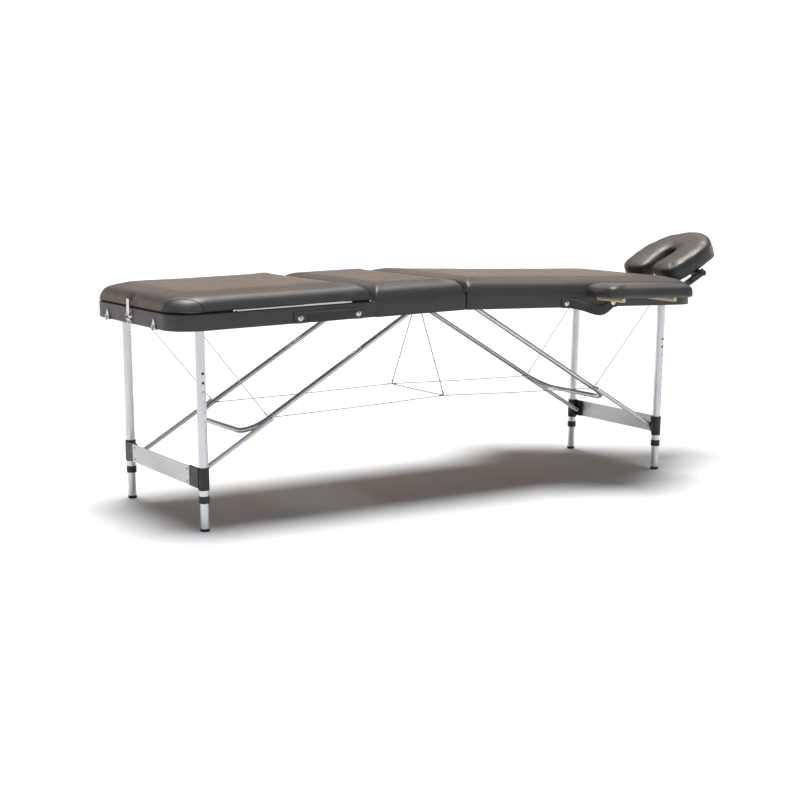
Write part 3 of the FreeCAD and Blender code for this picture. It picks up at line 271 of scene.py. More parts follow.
# The boards' undersides are bare plywood and the rest is stained black
tree = BOARD.node_tree
normal = tree.nodes.new("ShaderNodeSeparateXYZ")
tree.links.new(tree.nodes.new("ShaderNodeTexCoord").outputs["Normal"], normal.inputs["Vector"])
stained = tree.nodes.new("ShaderNodeMix")
stained.data_type = "RGBA"
stained.inputs["A"].default_value = (0.012, 0.012, 0.012, 1)
board_colour = tree.nodes["Principled BSDF"].inputs["Base Color"]
tree.links.new(board_colour.links[0].from_socket, stained.inputs["B"])
tree.links.new(spread(tree, normal.outputs["Z"], 1.0, 0.0, -0.7, -0.5), stained.inputs["Factor"])
tree.links.new(stained.outputs["Result"], board_colour)


# Mesh helpers
def build(name, verts, faces, place, body, material, slot, angle=40):
    """A piece from points in a frame's millimetres, riding on a body."""
    mesh = bpy.data.meshes.new(name)
    mesh.from_pydata([tuple(place @ Vector(v)) for v in verts], [], faces)
    mesh.validate()
    mesh.update()
    piece = bpy.data.objects.new(name, mesh)
    bpy.context.scene.collection.objects.link(piece)
    mesh.materials.append(material)
    mesh.shade_smooth()
    mesh.set_sharp_from_angle(angle=math.radians(angle))
    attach(piece, body)
    return piece


def loft(rings, closed=False):
    """Faces over a row of equal rings. Open rows get flat caps."""
    verts = [p for ring in rings for p in ring]
    n, faces = len(rings[0]), []
    pairs = [(k, k + 1) for k in range(len(rings) - 1)] + ([(len(rings) - 1, 0)] if closed else [])
    for a, b in pairs:
        for k in range(n):
            m = (k + 1) % n
            faces.append((a * n + k, a * n + m, b * n + m, b * n + k))
    if not closed:
        faces.append(tuple(reversed(range(n))))
        faces.append(tuple(range((len(rings) - 1) * n, len(rings) * n)))
    return verts, faces


def lathe(profile, sides=24):
    """Rings round z from (radius, height) pairs."""
    return loft([[(r * math.cos(2 * math.pi * k / sides), r * math.sin(2 * math.pi * k / sides), h)
                  for k in range(sides)] for r, h in profile])


def moved(part, matrix):
    verts, faces = part
    return [tuple(matrix @ Vector(v)) for v in verts], faces


def facing(at, direction):
    """A matrix that puts z along a direction at a point."""
    z = Vector(direction).normalized()
    return Matrix.Translation(at) @ z.to_track_quat("Z", "Y").to_matrix().to_4x4()


def outline(left, right, low, high, r_left, r_right, steps=12):
    """A rectangle with round corners, anticlockwise."""
    corners = ((right - r_right, low + r_right, r_right, -90), (right - r_right, high - r_right, r_right, 0),
               (left + r_left, high - r_left, r_left, 90), (left + r_left, low + r_left, r_left, 180))
    points = []
    for cx, cy, r, first in corners:
        for k in range(steps + 1):
            a = math.radians(first + 90 * k / steps)
            points.append((cx + r * math.cos(a), cy + r * math.sin(a)))
    return points


# Camera at the photograph's place
FOCAL, CENTRE_X, CENTRE_Y, FRAME = 1526.12, 382.53, 344.73, 800.0
CAMERA_X = (FOLD_X - 2655.04) / 1000
CAMERA_AT = Vector((CAMERA_X, -3.99671, 1.00414))
YAW, PITCH, ROLL = 0.5677, 0.1160, 0.0075
forward = Vector((math.sin(YAW) * math.cos(PITCH), math.cos(YAW) * math.cos(PITCH), -math.sin(PITCH)))
right = Vector((math.cos(YAW), -math.sin(YAW), 0))
upward = right.cross(forward)
across = right * math.cos(ROLL) + upward * math.sin(ROLL)
upright = upward * math.cos(ROLL) - right * math.sin(ROLL)
lens = bpy.data.cameras.new("camera")
lens.sensor_width = 36.0
lens.lens = 36.0 * FOCAL / FRAME
lens.shift_x = (FRAME / 2 - CENTRE_X) / FRAME
lens.shift_y = (CENTRE_Y - FRAME / 2) / FRAME
lens.clip_end = 200
camera = bpy.data.objects.new("camera", lens)
camera.matrix_world = Matrix(((across.x, upright.x, -forward.x, CAMERA_AT.x),
                              (across.y, upright.y, -forward.y, CAMERA_AT.y),
                              (across.z, upright.z, -forward.z, CAMERA_AT.z),
                              (0, 0, 0, 1)))
bpy.context.scene.collection.objects.link(camera)
bpy.context.scene.camera = camera


# Steel cables: strands wound along a taut line between two fittings
def route(name, points):
    """Points along the spline that has the given control points, in metres."""
    curve = bpy.data.curves.new(name + "_route", "CURVE")
    curve.dimensions = "3D"
    spline = curve.splines.new("NURBS")
    spline.points.add(len(points) - 1)
    for k, p in enumerate(points):
        spline.points[k].co = (*p, 1)
    spline.order_u = 3
    spline.use_endpoint_u = True
    spline.resolution_u = 90
    holder = bpy.data.objects.new(name + "_route", curve)
    bpy.context.scene.collection.objects.link(holder)
    mesh = bpy.data.meshes.new_from_object(holder)
    line = [v.co.copy() for v in mesh.vertices]
    bpy.data.objects.remove(holder)
    bpy.data.meshes.remove(mesh)
    bpy.data.curves.remove(curve)
    return line


def cable(name, half, start, end, radius, sag, node, material):
    """One cable with its strands and crimped sleeves, riding on its half."""
    place, body = PLACE[half], half + "_half"
    a, b = place @ Vector(start), place @ Vector(end)
    middle = (a + b) / 2 - Vector((0, 0, sag))
    line = route(name, [a, a.lerp(middle, 0.5), middle, middle.lerp(b, 0.5), b])
    run = (b - a).normalized()
    side = run.cross(Vector((0, 1, 0)) if abs(run.y) < 0.9 else Vector((1, 0, 0))).normalized()
    other = run.cross(side)
    rings, travelled = [], 0.0
    strands, around, pitch, ridge = 6, 18, 0.014, 0.10
    for k, p in enumerate(line):
        if k:
            travelled += (p - line[k - 1]).length
        ring = []
        for m in range(around):
            angle = 2 * math.pi * m / around
            wound = strands * (angle - 2 * math.pi * travelled / pitch / strands)
            swell = radius * (1 + ridge * math.cos(wound)) / (1 + ridge)
            ring.append(tuple(p + (side * math.cos(angle) + other * math.sin(angle)) * swell / 1000))
        rings.append(ring)
    verts, faces = loft(rings)
    piece = build(name, verts, faces, Matrix.Identity(4), body, material, "zinc_steel", angle=80)
    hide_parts(node)
    sleeves = []
    for k, (at, way) in enumerate(((a, run), (b, -run))):
        profile = [(share * radius / 1000, h / 1000) for share, h in SLEEVE]
        part = moved(lathe(profile, 16), facing(at + way * SLEEVE_START, way))
        sleeve = build("%s_sleeve_%d" % (name, k), *part, Matrix.Identity(4), body, PLATED, "bright_plate")
        sleeves.append(sleeve)
    for thing in [piece] + sleeves:
        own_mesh(thing)


# A sleeve's radii, as shares of the cable's, and its heights in millimetres
SLEEVE = [(0.9, 0), (1.75, 0.4), (1.9, 1.4), (1.55, 3.6), (1.9, 5.8), (1.55, 8.0), (1.9, 10.2), (1.75, 11.2),
          (0.9, 11.6)]
SLEEVE_START = 0.004
CABLE_R, AXLE_R, CABLE_GAP = 1.2, 5.0, 0.6
SPAN_SAG, CROSS_SAG = 0.002, 0.001
DIAGONAL = 0.7072
KNEE_U = BRACE_PIVOT_U + UPPER_ARM * math.cos(BRACE_ANGLE)
KNEE_W = AXLE_W - UPPER_ARM * math.sin(BRACE_ANGLE)
RISE = BRACE_R + CABLE_GAP
HANG = AXLE_R + CABLE_GAP
YOKE_U, YOKE_V, YOKE_W, YOKE_R = 32.0, 149.0, -281.0, 1.4
BACK_U = 2 * (-YOKE_W - HINGE_DROP) * math.tan(CAMBER) - YOKE_U
YOKE_CORNER = {"head": (YOKE_U, YOKE_W), "back": (BACK_U, YOKE_W - (YOKE_U - BACK_U) * math.tan(CAMBER))}
for half in ("back", "head"):
    for sign in (-1, 1):
        word = "near" if sign == NEAR[half] else "far"
        above = (KNEE_U + RISE * math.sin(BRACE_ANGLE), sign * BRACE_V, KNEE_W + RISE * math.cos(BRACE_ANGLE))
        axle = (LEG_STATION - HANG * DIAGONAL, sign * (STRUT_V - 2), AXLE_W - HANG * DIAGONAL)
        stay, span = "%s_stay_%s" % (half, word), "%s_span_%s" % (half, word)
        cable(stay, half, axle, above, CABLE_R, 0.0, half + "_cables", WIRE)
        inside = (KNEE_U, sign * (BRACE_V - RISE - CABLE_R), KNEE_W)
        corner = (YOKE_CORNER[half][0] + 2 * YOKE_R, sign * YOKE_V, YOKE_CORNER[half][1])
        cable(span, half, inside, corner, CABLE_R, SPAN_SAG, half + "_cables", WIRE)
RAIL_INSIDE_U, APEX_W = 20.0, 15.0
apex = (RAIL_INSIDE_U + YOKE_R, 0, APEX_W)
corners = {word: (YOKE_U, NEAR["head"] * side * YOKE_V, YOKE_W) for word, side in (("near", 1), ("far", -1))}
for word, corner in corners.items():
    cable("yoke_run_" + word, "head", apex, corner, YOKE_R, 0.0, "centre_yoke", DARK_WIRE)
cable("yoke_cross", "head", corners["far"], corners["near"], YOKE_R, CROSS_SAG, "centre_yoke", DARK_WIRE)


# Upholstery, filled by a cloth simulation
SOFT = []
LAST_FRAME = 20


def points_of(mesh):
    flat = np.empty(len(mesh.vertices) * 3)
    mesh.vertices.foreach_get("co", flat)
    return flat.reshape(-1, 3)


def stuffed(name, node, rings, place, body, voxel, held_below, most, shape, base=None, trim=None):
    """Keeps a soft block for the simulation: its start form, hold, limit of swelling and lower edge."""
    verts, faces = loft(rings)
    mesh = bpy.data.meshes.new(name)
    mesh.from_pydata([tuple(Vector(v) / 1000) for v in verts], [], faces)
    rough = bpy.data.objects.new(name + "_rough", mesh)
    bpy.context.scene.collection.objects.link(rough)
    remesh = rough.modifiers.new("remesh", "REMESH")
    remesh.mode = "VOXEL"
    remesh.voxel_size = voxel / 1000
    fine = bpy.data.meshes.new_from_object(rough.evaluated_get(bpy.context.evaluated_depsgraph_get()))
    bpy.data.objects.remove(rough)
    piece = bpy.data.objects.new(name, fine)
    bpy.context.scene.collection.objects.link(piece)
    held = piece.vertex_groups.new(name="held")
    held.add([int(k) for k in np.nonzero(points_of(fine)[:, 2] * 1000 < held_below)[0]], 1.0, "REPLACE")
    SOFT.append(dict(piece=piece, node=node, place=place, body=body, most=most / 1000, shape=shape,
                     base=base, trim=trim))


def fill_all():
    """Runs the pressure in every soft block at once and keeps the swollen forms, each within its limit."""
    for s in SOFT:
        cloth = s["piece"].modifiers.new("cloth", "CLOTH")
        cloth.settings.quality = 4
        cloth.settings.mass = 0.3
        cloth.settings.tension_stiffness = cloth.settings.compression_stiffness = 12
        cloth.settings.shear_stiffness = 4
        cloth.settings.bending_stiffness = 0.6
        cloth.settings.use_pressure = True
        cloth.settings.uniform_pressure_force = 4.0
        cloth.settings.effector_weights.gravity = 0.0
        cloth.settings.vertex_group_mass = "held"
        cloth.point_cache.frame_start = 1
        cloth.point_cache.frame_end = LAST_FRAME
    for number in range(1, LAST_FRAME + 1):
        bpy.context.scene.frame_set(number)
    depsgraph = bpy.context.evaluated_depsgraph_get()
    for s in SOFT:
        mesh = s["piece"].data
        start = points_of(mesh)
        step = points_of(s["piece"].evaluated_get(depsgraph).data) - start
        far = np.maximum(np.linalg.norm(step, axis=1, keepdims=True), 1e-9)
        s["swollen"] = start + step / far * np.tanh(far / s["most"]) * s["most"]
    for s in SOFT:
        s["piece"].modifiers.clear()
        s["piece"].data.vertices.foreach_set("co", s["swollen"].ravel())
        s["piece"].data.update()
    bpy.context.scene.frame_set(1)


def upholster():
    """Subdivides the swollen forms, works the creases into them, trims them and sets them on the frame."""
    fill_all()
    for s in SOFT:
        piece = s["piece"]
        even = piece.modifiers.new("even", "SMOOTH")
        even.factor = 0.5
        even.iterations = 8
        smooth = piece.modifiers.new("subdivision", "SUBSURF")
        smooth.levels = smooth.render_levels = 1
        mesh = bpy.data.meshes.new_from_object(piece.evaluated_get(bpy.context.evaluated_depsgraph_get()))
        piece.modifiers.clear()
        piece.vertex_groups.clear()
        piece.data = mesh
        co = s["shape"](points_of(mesh) * 1000)
        mesh.vertices.foreach_set("co", co.ravel())
        if s["base"] is not None:
            work = bmesh.new()
            work.from_mesh(mesh)
            low = [f for f in work.faces if f.calc_center_median().z < s["base"]]
            bmesh.ops.delete(work, geom=low, context="FACES")
            for vertex in work.verts:
                if vertex.is_boundary or vertex.co.z < s["base"]:
                    vertex.co.z = s["base"]
            if s["trim"]:
                gone = [f for f in work.faces if s["trim"](*f.calc_center_median())]
                bmesh.ops.delete(work, geom=gone, context="FACES")
            work.to_mesh(mesh)
            work.free()
        mesh.transform(s["place"])
        mesh.materials.clear()
        mesh.materials.append(LEATHER)
        mesh.shade_smooth()
        mesh.update()
        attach(piece, s["body"])
        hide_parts(s["node"])


def bell(distance, width):
    return np.exp(-(distance / width) ** 2)


COVER = 1.5
UNDER, BACK_UNDER = -1.6, 51.3
SKIRT = 17.0
MAIN_TOP, BACK_TOP = 88.5, 95.5
MAIN_SHOULDER, BACK_SHOULDER = 54.0, 60.0
FOLD_GAP = 2.0
MIDDLE_END, BACKREST_START = 322.0, 332.0


def shoulder(low, start, top, count=9):
    """Heights and insets of a padded edge: upright to the start, then a quarter round to the top."""
    steps = [(low, 0.0), ((low + start) / 2, 0.0), (start - 4, 0.0)]
    for k in range(count + 1):
        a = math.pi / 2 * k / count
        steps.append((start + (top - start) * math.sin(a), 1 - math.cos(a)))
    return steps


def levels(steps, left, right, wide, r_left, r_right, inset_left, inset_right, inset_side):
    """Stacked outlines, with a shoulder depth and a corner for each side."""
    rings = []
    for w, share in steps:
        ring = outline(left + share * inset_left, right - share * inset_right, -wide + share * inset_side,
                       wide - share * inset_side, r_left + share * 12, r_right + share * 6)
        rings.append([(u, v, w) for u, v in ring])
    return rings


def slack(co):
    """Slow, shallow waves of leather over foam."""
    u, v, w = co.T
    wave = np.sin(u / 61 + 0.7 * np.sin(v / 83)) * np.sin(v / 57 + 0.5) + 0.6 * np.sin(u / 29 + v / 37)
    return 0.28 * wave * np.clip((w - 70) / 15, 0, 1)


def fold_pleats(co):
    """Creases of the cover where it is drawn together at the corners beside the fold."""
    u, v, w = co.T
    groove = np.zeros(len(co))
    for slope, depth_mm in ((0.55, 1.5), (1.15, 1.1), (2.1, 0.8)):
        run = np.clip((u - FOLD_GAP) / 52, 0, 1)
        line = (HALF_WIDTH - np.abs(v)) - 6 - (u - FOLD_GAP) * slope
        groove += depth_mm * bell(line, 3.4) * (1 - run) * (w > 58)
    return groove


def work_main(co):
    co = co.copy()
    pleat = fold_pleats(co)
    co[:, 1] -= np.sign(co[:, 1]) * 0.5 * pleat
    co[:, 2] += slack(co) - 0.8 * pleat
    return co


def work_head(co):
    """The head half's padding gets thinner toward its end."""
    co = work_main(co)
    co[:, 2] -= 5.5 * np.clip(co[:, 0] / HALF_LENGTH, 0, 1) * np.clip((co[:, 2] - 50) / 36, 0, 1)
    return co


def work_backrest(co):
    co = co.copy()
    u, v, w = co.T
    dent = bell(v, 15) * np.clip((u - 905) / 35, 0, 1) * np.clip((w - 56) / 10, 0, 1)
    co[:, 2] += slack(co) - 2.0 * dent
    co[:, 0] -= 4.5 * dent
    return co


def work_plain(co):
    co = co.copy()
    co[:, 2] += 0.5 * slack(co)
    return co


def open_middle(u, v, w):
    """The middle padding has no wall where the backrest's hinges pass."""
    return u > MIDDLE_END - 4 and w < 49 and abs(v) < HALF_WIDTH - 3


main_edge = shoulder(UNDER - SKIRT, MAIN_SHOULDER, MAIN_TOP)
back_edge = shoulder(BACK_UNDER - SKIRT, BACK_SHOULDER, BACK_TOP)
wide = HALF_WIDTH + COVER
middle_rings = levels(main_edge, FOLD_GAP - COVER, MIDDLE_END, wide, r_left=3, r_right=3,
                      inset_left=16, inset_right=26, inset_side=36)
head_rings = levels(main_edge, FOLD_GAP - COVER, HALF_LENGTH + COVER, wide, r_left=3, r_right=CORNER,
                    inset_left=16, inset_right=38, inset_side=36)
backrest_rings = levels(back_edge, BACKREST_START, HALF_LENGTH + 2, wide, r_left=5, r_right=CORNER,
                        inset_left=30, inset_right=36, inset_side=36)
stuffed("middle_upholstery", "middle_cushion", middle_rings, PLACE["back"], "back_half",
        voxel=6.5, held_below=46, most=5.0, shape=work_main, base=UNDER, trim=open_middle)
stuffed("head_upholstery", "head_cushion", head_rings, PLACE["head"], "head_half",
        voxel=7.0, held_below=46, most=5.0, shape=work_head, base=UNDER)
stuffed("backrest_upholstery", "backrest_cushion", backrest_rings, PLACE["back"], "backrest",
        voxel=7.0, held_below=53, most=5.0, shape=work_backrest, base=BACK_UNDER)
ARM_U, ARM_HALF, ARM_IN, ARM_OUT = 623.0, 175.5, 303.5, 439.5
ARM_UNDER, ARM_SHOULDER, ARM_TOP, ARM_INSET, ARM_CORNER = 34.6, 60.0, 72.0, 14.0, 24.0
for sign, word in ((-1, "near"), (1, "far")):
    low, high = sorted((sign * ARM_IN, sign * ARM_OUT))
    rings = []
    for w, share in shoulder(ARM_UNDER, ARM_SHOULDER, ARM_TOP):
        inset = ARM_INSET * share
        ring = outline(ARM_U - ARM_HALF + inset, ARM_U + ARM_HALF - inset, low + inset, high - inset,
                       ARM_CORNER, ARM_CORNER)
        rings.append([(u, v, w) for u, v in ring])
    stuffed("armrest_upholstery_" + word, "armrest_pad_" + word, rings, PLACE["head"], "armrest_" + word,
            voxel=4.5, held_below=40, most=4.0, shape=work_plain)

# Horseshoe cushion of the headrest: a padded section carried round its line
RING_X, RING_R, RING_FILL, RING_INNER = 19.0, 93.0, 54.0, 71.0
REST_BASE, TIP_X, TIP_Y, TIP_LENGTH = 13.0, -60.0, 87.0, 50.0
SECTION = [(-0.94, 0), (-0.99, 3), (-1.0, 9), (-1.0, 26), (-1.0, 42), (-0.97, 50), (-0.90, 55), (-0.78, 58),
           (-0.40, 59.5), (0.0, 60), (0.40, 59.8), (0.78, 59), (0.92, 56.5), (0.98, 51), (1.0, 42), (1.0, 26),
           (1.0, 9), (0.99, 3), (0.94, 0)]


def horseshoe():
    """Rings along the line of the horseshoe, with closing rings at both tips."""
    line = []
    for k in range(9):
        share = k / 8
        y = TIP_Y + (RING_R - TIP_Y) * math.sin(share * math.pi / 2)
        line.append((TIP_X + (RING_X - TIP_X) * share, -y))
    for k in range(1, 24):
        angle = -math.pi / 2 + math.pi * k / 24
        line.append((RING_X + RING_R * math.cos(angle), RING_R * math.sin(angle)))
    line += [(x, -y) for x, y in reversed(line[:9])]
    flat = [Vector((x, y, 0)) for x, y in line]

    def ring(at, way, outer, inner, tall, turn=-1):
        side = Vector((way.y, -way.x, 0))
        reach = [(d * (RING_INNER * inner if d * turn > 0 else RING_FILL * outer), h) for d, h in SECTION]
        return [tuple(at + side * d + Vector((0, 0, REST_BASE + h * tall))) for d, h in reach]

    def tip(at, way, turn):
        rounds = [math.radians(12 * k) for k in range(1, 8)]
        return [ring(at + way * TIP_LENGTH * math.sin(a), way, math.cos(a), math.cos(a) ** 0.35,
                     0.85 + 0.15 * math.cos(a), turn) for a in rounds]

    first, last = (flat[1] - flat[0]).normalized(), (flat[-1] - flat[-2]).normalized()
    start = [list(reversed(r)) for r in tip(flat[0], -first, 1)]
    rings = list(reversed(start))
    for k, p in enumerate(flat):
        way = (flat[min(k + 1, len(flat) - 1)] - flat[max(k - 1, 0)]).normalized()
        rings.append(ring(p, way, 1.0, 1.0, 1.0))
    return rings + tip(flat[-1], last, -1)


stuffed("headrest_upholstery", "headrest_cushion", horseshoe(), REST_PLACE, "headrest",
        voxel=4.5, held_below=REST_BASE + 3, most=3.5, shape=work_plain)
upholster()


# Leather that follows the edge of a half, and black strips that close the gap between padding and rails as
# painted shade
def edge_path(start, steps=16):
    """Points and outward directions along the edge, from one side round the end to the other."""
    bend_u, bend_v = HALF_LENGTH - CORNER, HALF_WIDTH - CORNER
    path = [((start + (bend_u - start) * k / 12, HALF_WIDTH), (0, 1)) for k in range(12)]
    for sign in (1, -1):
        for k in range(steps + 1):
            a = math.pi / 2 * (1 - k / steps) if sign > 0 else -math.pi / 2 * k / steps
            way = (math.cos(a), math.sin(a))
            path.append(((bend_u + CORNER * way[0], sign * bend_v + CORNER * way[1]), way))
    return path + [((u, -v), (0, -1)) for (u, v), way in reversed(path[:12])]


def band(path, profile):
    """A strip over a path, whose profile is (offset, height) pairs."""
    n = len(profile)
    verts = [(u + way[0] * d, v + way[1] * d, w) for (u, v), way in path for d, w in profile]
    faces = [(k * n + m, k * n + m + 1, (k + 1) * n + m + 1, (k + 1) * n + m)
             for k in range(len(path) - 1) for m in range(n - 1)]
    return verts, faces


RAIL_SKIN = [(-14, -0.9), (-3, -0.9), (-0.6, -0.5), (0.7, 0.9), (0.9, 3), (0.9, 42), (0.7, 44.3),
             (-0.6, 45.6), (-2.6, 45.9)]
build("back_rail_cover", *band(edge_path(MIDDLE_END + 0.6), RAIL_SKIN), PLACE["back"], "back_half",
      LEATHER, "black_leather", angle=70)
# Black strips along the inner edge of the rail tops close the see-through gap under the padding, so it reads
# dark: painted shade.
GAP_STRIP_PROFILE = [(-8, 44.8), (-7.6, 48.6), (-8.6, 49.4), (-13.4, 49.4), (-14.4, 48.6), (-14, 44.8), (-8, 44.8)]
GAP_STRIP_FROM, HINGE_GAP_STRIP = 772.0, range(336, 396, 8)
build("gap_shade_strip", *band(edge_path(GAP_STRIP_FROM), GAP_STRIP_PROFILE), PLACE["back"], "back_half",
      RUBBER, "black_rubber", angle=50)
for sign, word in ((1, "near"), (-1, "far")):
    side = [((u, sign * HALF_WIDTH), (0, sign)) for u in HINGE_GAP_STRIP]
    build("hinge_gap_shade_strip_" + word, *band(side, GAP_STRIP_PROFILE), PLACE["back"], "back_half",
          RUBBER, "black_rubber", angle=50)


def hem(name, left, right, r_right, depth_mm, w, place, body):
    """The turned-under edge of a cover."""
    rings = []
    for d, h in ((COVER - 0.1, w), (0.4, w - 0.3), (-depth_mm, w - 0.3)):
        ring = outline(left - d, right + d, -HALF_WIDTH - d, HALF_WIDTH + d, 5, max(r_right + d, 5))
        rings.append([(u, v, h) for u, v in ring])
    verts, faces = loft(rings)
    build(name, verts, faces[:-2], place, body, LEATHER, "black_leather", angle=70)


hem("backrest_hem", BACKREST_START + 0.5, HALF_LENGTH, CORNER, 24, BACK_UNDER, PLACE["back"], "backrest")
hem("head_hem", FOLD_GAP, HALF_LENGTH, CORNER, 13, UNDER, PLACE["head"], "head_half")

# Sewn corner caps of the backrest: an arc where an upright plane cuts each corner. The seam is real; its cord
# is much darker than the leather, as painted shade of the seam's groove.
backrest = bpy.data.objects["backrest_upholstery"].data
surface_tree = BVHTree.FromPolygons([v.co for v in backrest.vertices],
                                    [p.vertices[:] for p in backrest.polygons])


def tube(line, radius, sides=8):
    """A round cord through points in metres."""
    rings = []
    for k, p in enumerate(line):
        way = (line[min(k + 1, len(line) - 1)] - line[max(k - 1, 0)]).normalized()
        side = way.cross(Vector((0, 0, 1)) if abs(way.z) < 0.9 else Vector((1, 0, 0))).normalized()
        other = way.cross(side)
        rings.append([tuple(p + (side * math.cos(t) + other * math.sin(t)) * radius)
                      for t in (2 * math.pi * m / sides for m in range(sides))])
    return loft(rings)


SEAM_R = 0.0009
CAP_END, CAP_SIDE = Vector((952.5, 215.2, 52.5)), Vector((859.5, 300, 52.5))
for sign, word in ((1, "near"), (-1, "far")):
    first, last = (PLACE["back"] @ Vector((p.x, sign * p.y, p.z)) for p in (CAP_END, CAP_SIDE))
    middle, chord = (first + last) / 2, (last - first).normalized()
    rise = Vector(UPWARD["back"])
    line = []
    for k in range(61):
        a = math.radians(2 + 176 * k / 60)
        hit = surface_tree.ray_cast(middle, rise * math.sin(a) - chord * math.cos(a), 0.2)[0]
        if hit is not None:
            line.append(hit)
    build("corner_seam_" + word, *tube(line, SEAM_R), Matrix.Identity(4), "backrest", SEAM_PAINTED_SHADE, "black_leather")

# Carrying handles: ribbed webbing under leather patches and cup washers
STRAP_FROM, STRAP_TO, STRAP_HALF = 381.0, 571.0, 15.0
STRAP_W = {"back": 15.0, "head": 12.0}
RIB_SIDE = [(-1.0, 0.0), (-0.97, 0.8), (-0.88, 1.3), (-0.72, 1.7), (-0.56, 1.2), (-0.38, 1.7), (-0.20, 1.2)]
RIBS = RIB_SIDE + [(0.0, 1.8)] + [(-s, out) for s, out in reversed(RIB_SIDE)] + [(0.5, -0.4), (-0.5, -0.4)]
DROOP = {"back": 0.0, "head": 25.5}
BOW = {"back": 2.5, "head": 10.0}
LEAN = {"back": 0.08, "head": 0.18}
FACE = HALF_WIDTH + 1.7
PATCH_LONG, PATCH_TALL, PATCH_CORNER = 19.0, 16.0, 5.0


def strap(half):
    """A ribbed ribbon between the two screws, hanging and turning outward in its middle."""
    rings = []
    for k in range(45):
        t = k / 44
        arch = math.sin(math.pi * t)
        hang = DROOP[half] * max(math.sin(math.pi * t ** 1.7), 0) ** 1.15
        lean = LEAN[half] * arch
        u = STRAP_FROM - 9 + (STRAP_TO - STRAP_FROM + 18) * t
        ring = []
        for across_share, out in RIBS:
            s = across_share * STRAP_HALF
            reach = FACE + 0.6 + BOW[half] * arch ** 1.5 + out * math.cos(lean)
            reach += (STRAP_HALF - s) * math.sin(lean)
            height = STRAP_W[half] - hang + s * math.cos(lean) + out * math.sin(lean)
            ring.append((u, NEAR[half] * reach, height))
        rings.append(ring if NEAR[half] > 0 else ring[::-1])
    return loft(rings)


def patch(half, u):
    """A leather patch with rounded corners over the end of a strap."""
    rings = []
    for grow, out in ((0, 0.0), (0, 2.4), (-0.8, 3.2), (-6, 3.6)):
        long, tall, round_r = PATCH_LONG + grow, PATCH_TALL + grow, PATCH_CORNER + grow / 2
        ring = outline(u - long, u + long, STRAP_W[half] - tall, STRAP_W[half] + tall, round_r, round_r, 5)
        rings.append([(x, NEAR[half] * (FACE + out), w) for x, w in ring])
    return loft(rings)


WASHER = [(3.0, 0.2), (8.2, 0.0), (8.9, 0.5), (8.7, 1.4), (6.6, 2.6), (4.6, 2.7), (4.2, 1.9)]
HEAD = [(4.1, 1.0), (4.0, 2.1), (3.2, 2.7), (1.6, 3.0), (0.9, 2.2), (0.2, 2.0)]
for half in ("back", "head"):
    place, body = PLACE[half], half + "_half"
    ribbon = build(half + "_carrying_strap", *strap(half), place, body, WEBBING, "black_webbing", angle=60)
    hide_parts(half + "_handle_strap")
    if half == "head":
        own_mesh(ribbon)
    for k, u in enumerate((STRAP_FROM, STRAP_TO)):
        build("%s_strap_patch_%d" % (half, k), *patch(half, u), place, body, LEATHER, "black_leather")
        seat = facing((u, NEAR[half] * (FACE + 3.4), STRAP_W[half]), (0, NEAR[half], 0))
        for word, profile in (("washer", WASHER), ("screw", HEAD)):
            name = "%s_strap_%s_%d" % (half, word, k)
            thing = build(name, *moved(lathe(profile, 28), seat), place, body, PLATED, "bright_plate")
            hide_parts(half + "_handle_screws")


# Small fittings on the legs, plates and braces
DOME = [(3.6, 0.0), (3.55, 1.6), (3.0, 2.7), (1.9, 3.4), (0.7, 3.7), (0.1, 3.75)]
RIVET = [(5.6, 0.0), (5.5, 0.9), (4.6, 2.0), (2.6, 2.9), (0.8, 3.2), (0.1, 3.2)]
PAN = [(3.4, 0.0), (3.4, 0.9), (2.8, 1.7), (1.5, 2.1), (0.9, 1.4), (0.2, 1.3)]
BUTTON_W, TUBE_RADIUS = -174.0, 13.5
DOME_SINK, RIVET_SINK = 1.3, 0.6
PIN_V = 203.2
PLATE_FACE_U, PLATE_SCREW_V, PLATE_SCREW_W = 874.9, 183.0, (-396.0, -431.0)
SMALL_RIVET = [(r / 1000, h / 1000) for r, h in RIVET]


def fitting(name, profile, at, way, half, body, material, slot, sides=20):
    """A turned fastener at a point of a half."""
    build(name, *moved(lathe(profile, sides), facing(at, way)), PLACE[half], body, material, slot)


for half in ("back", "head"):
    legs = half + "_legs"
    for sign in (1, -1):
        word = "near" if sign == NEAR[half] else "far"
        out = (0, sign, 0)
        button = (LEG_STATION, sign * (LEG_V[half] + TUBE_RADIUS - DOME_SINK), BUTTON_W)
        # The button domes take the struts' lightened material: painted light.
        fitting("%s_button_dome_%s" % (half, word), DOME, button, out, half, "%s_button_%s" % (half, word),
                STRUT_PAINTED_LIGHT, "bright_plate")
        pin = (STRUT_PIVOT_U, sign * PIN_V, STRUT_PIVOT_W)
        fitting("%s_lower_pin_%s" % (half, word), RIVET, pin, out, half, legs, PLATED, "bright_plate")
        for k, w in enumerate(PLATE_SCREW_W):
            screw = (PLATE_FACE_U, sign * PLATE_SCREW_V, w)
            fitting("%s_plate_screw_%s_%d" % (half, word, k), PAN, screw, (1, 0, 0), half, legs,
                    ZINC, "zinc_steel", 16)
        knee = STRUT_PLACE[half] @ Vector((LOWER_ARM, sign * (STRUT_V + STRUT_R - RIVET_SINK), 0))
        away = STRUT_PLACE[half].to_3x3() @ Vector((0, sign, 0))
        rivet = moved(lathe(SMALL_RIVET, 20), facing(knee, away))
        build("%s_knee_rivet_%s" % (half, word), *rivet, Matrix.Identity(4), half + "_struts",
              PLATED, "bright_plate")

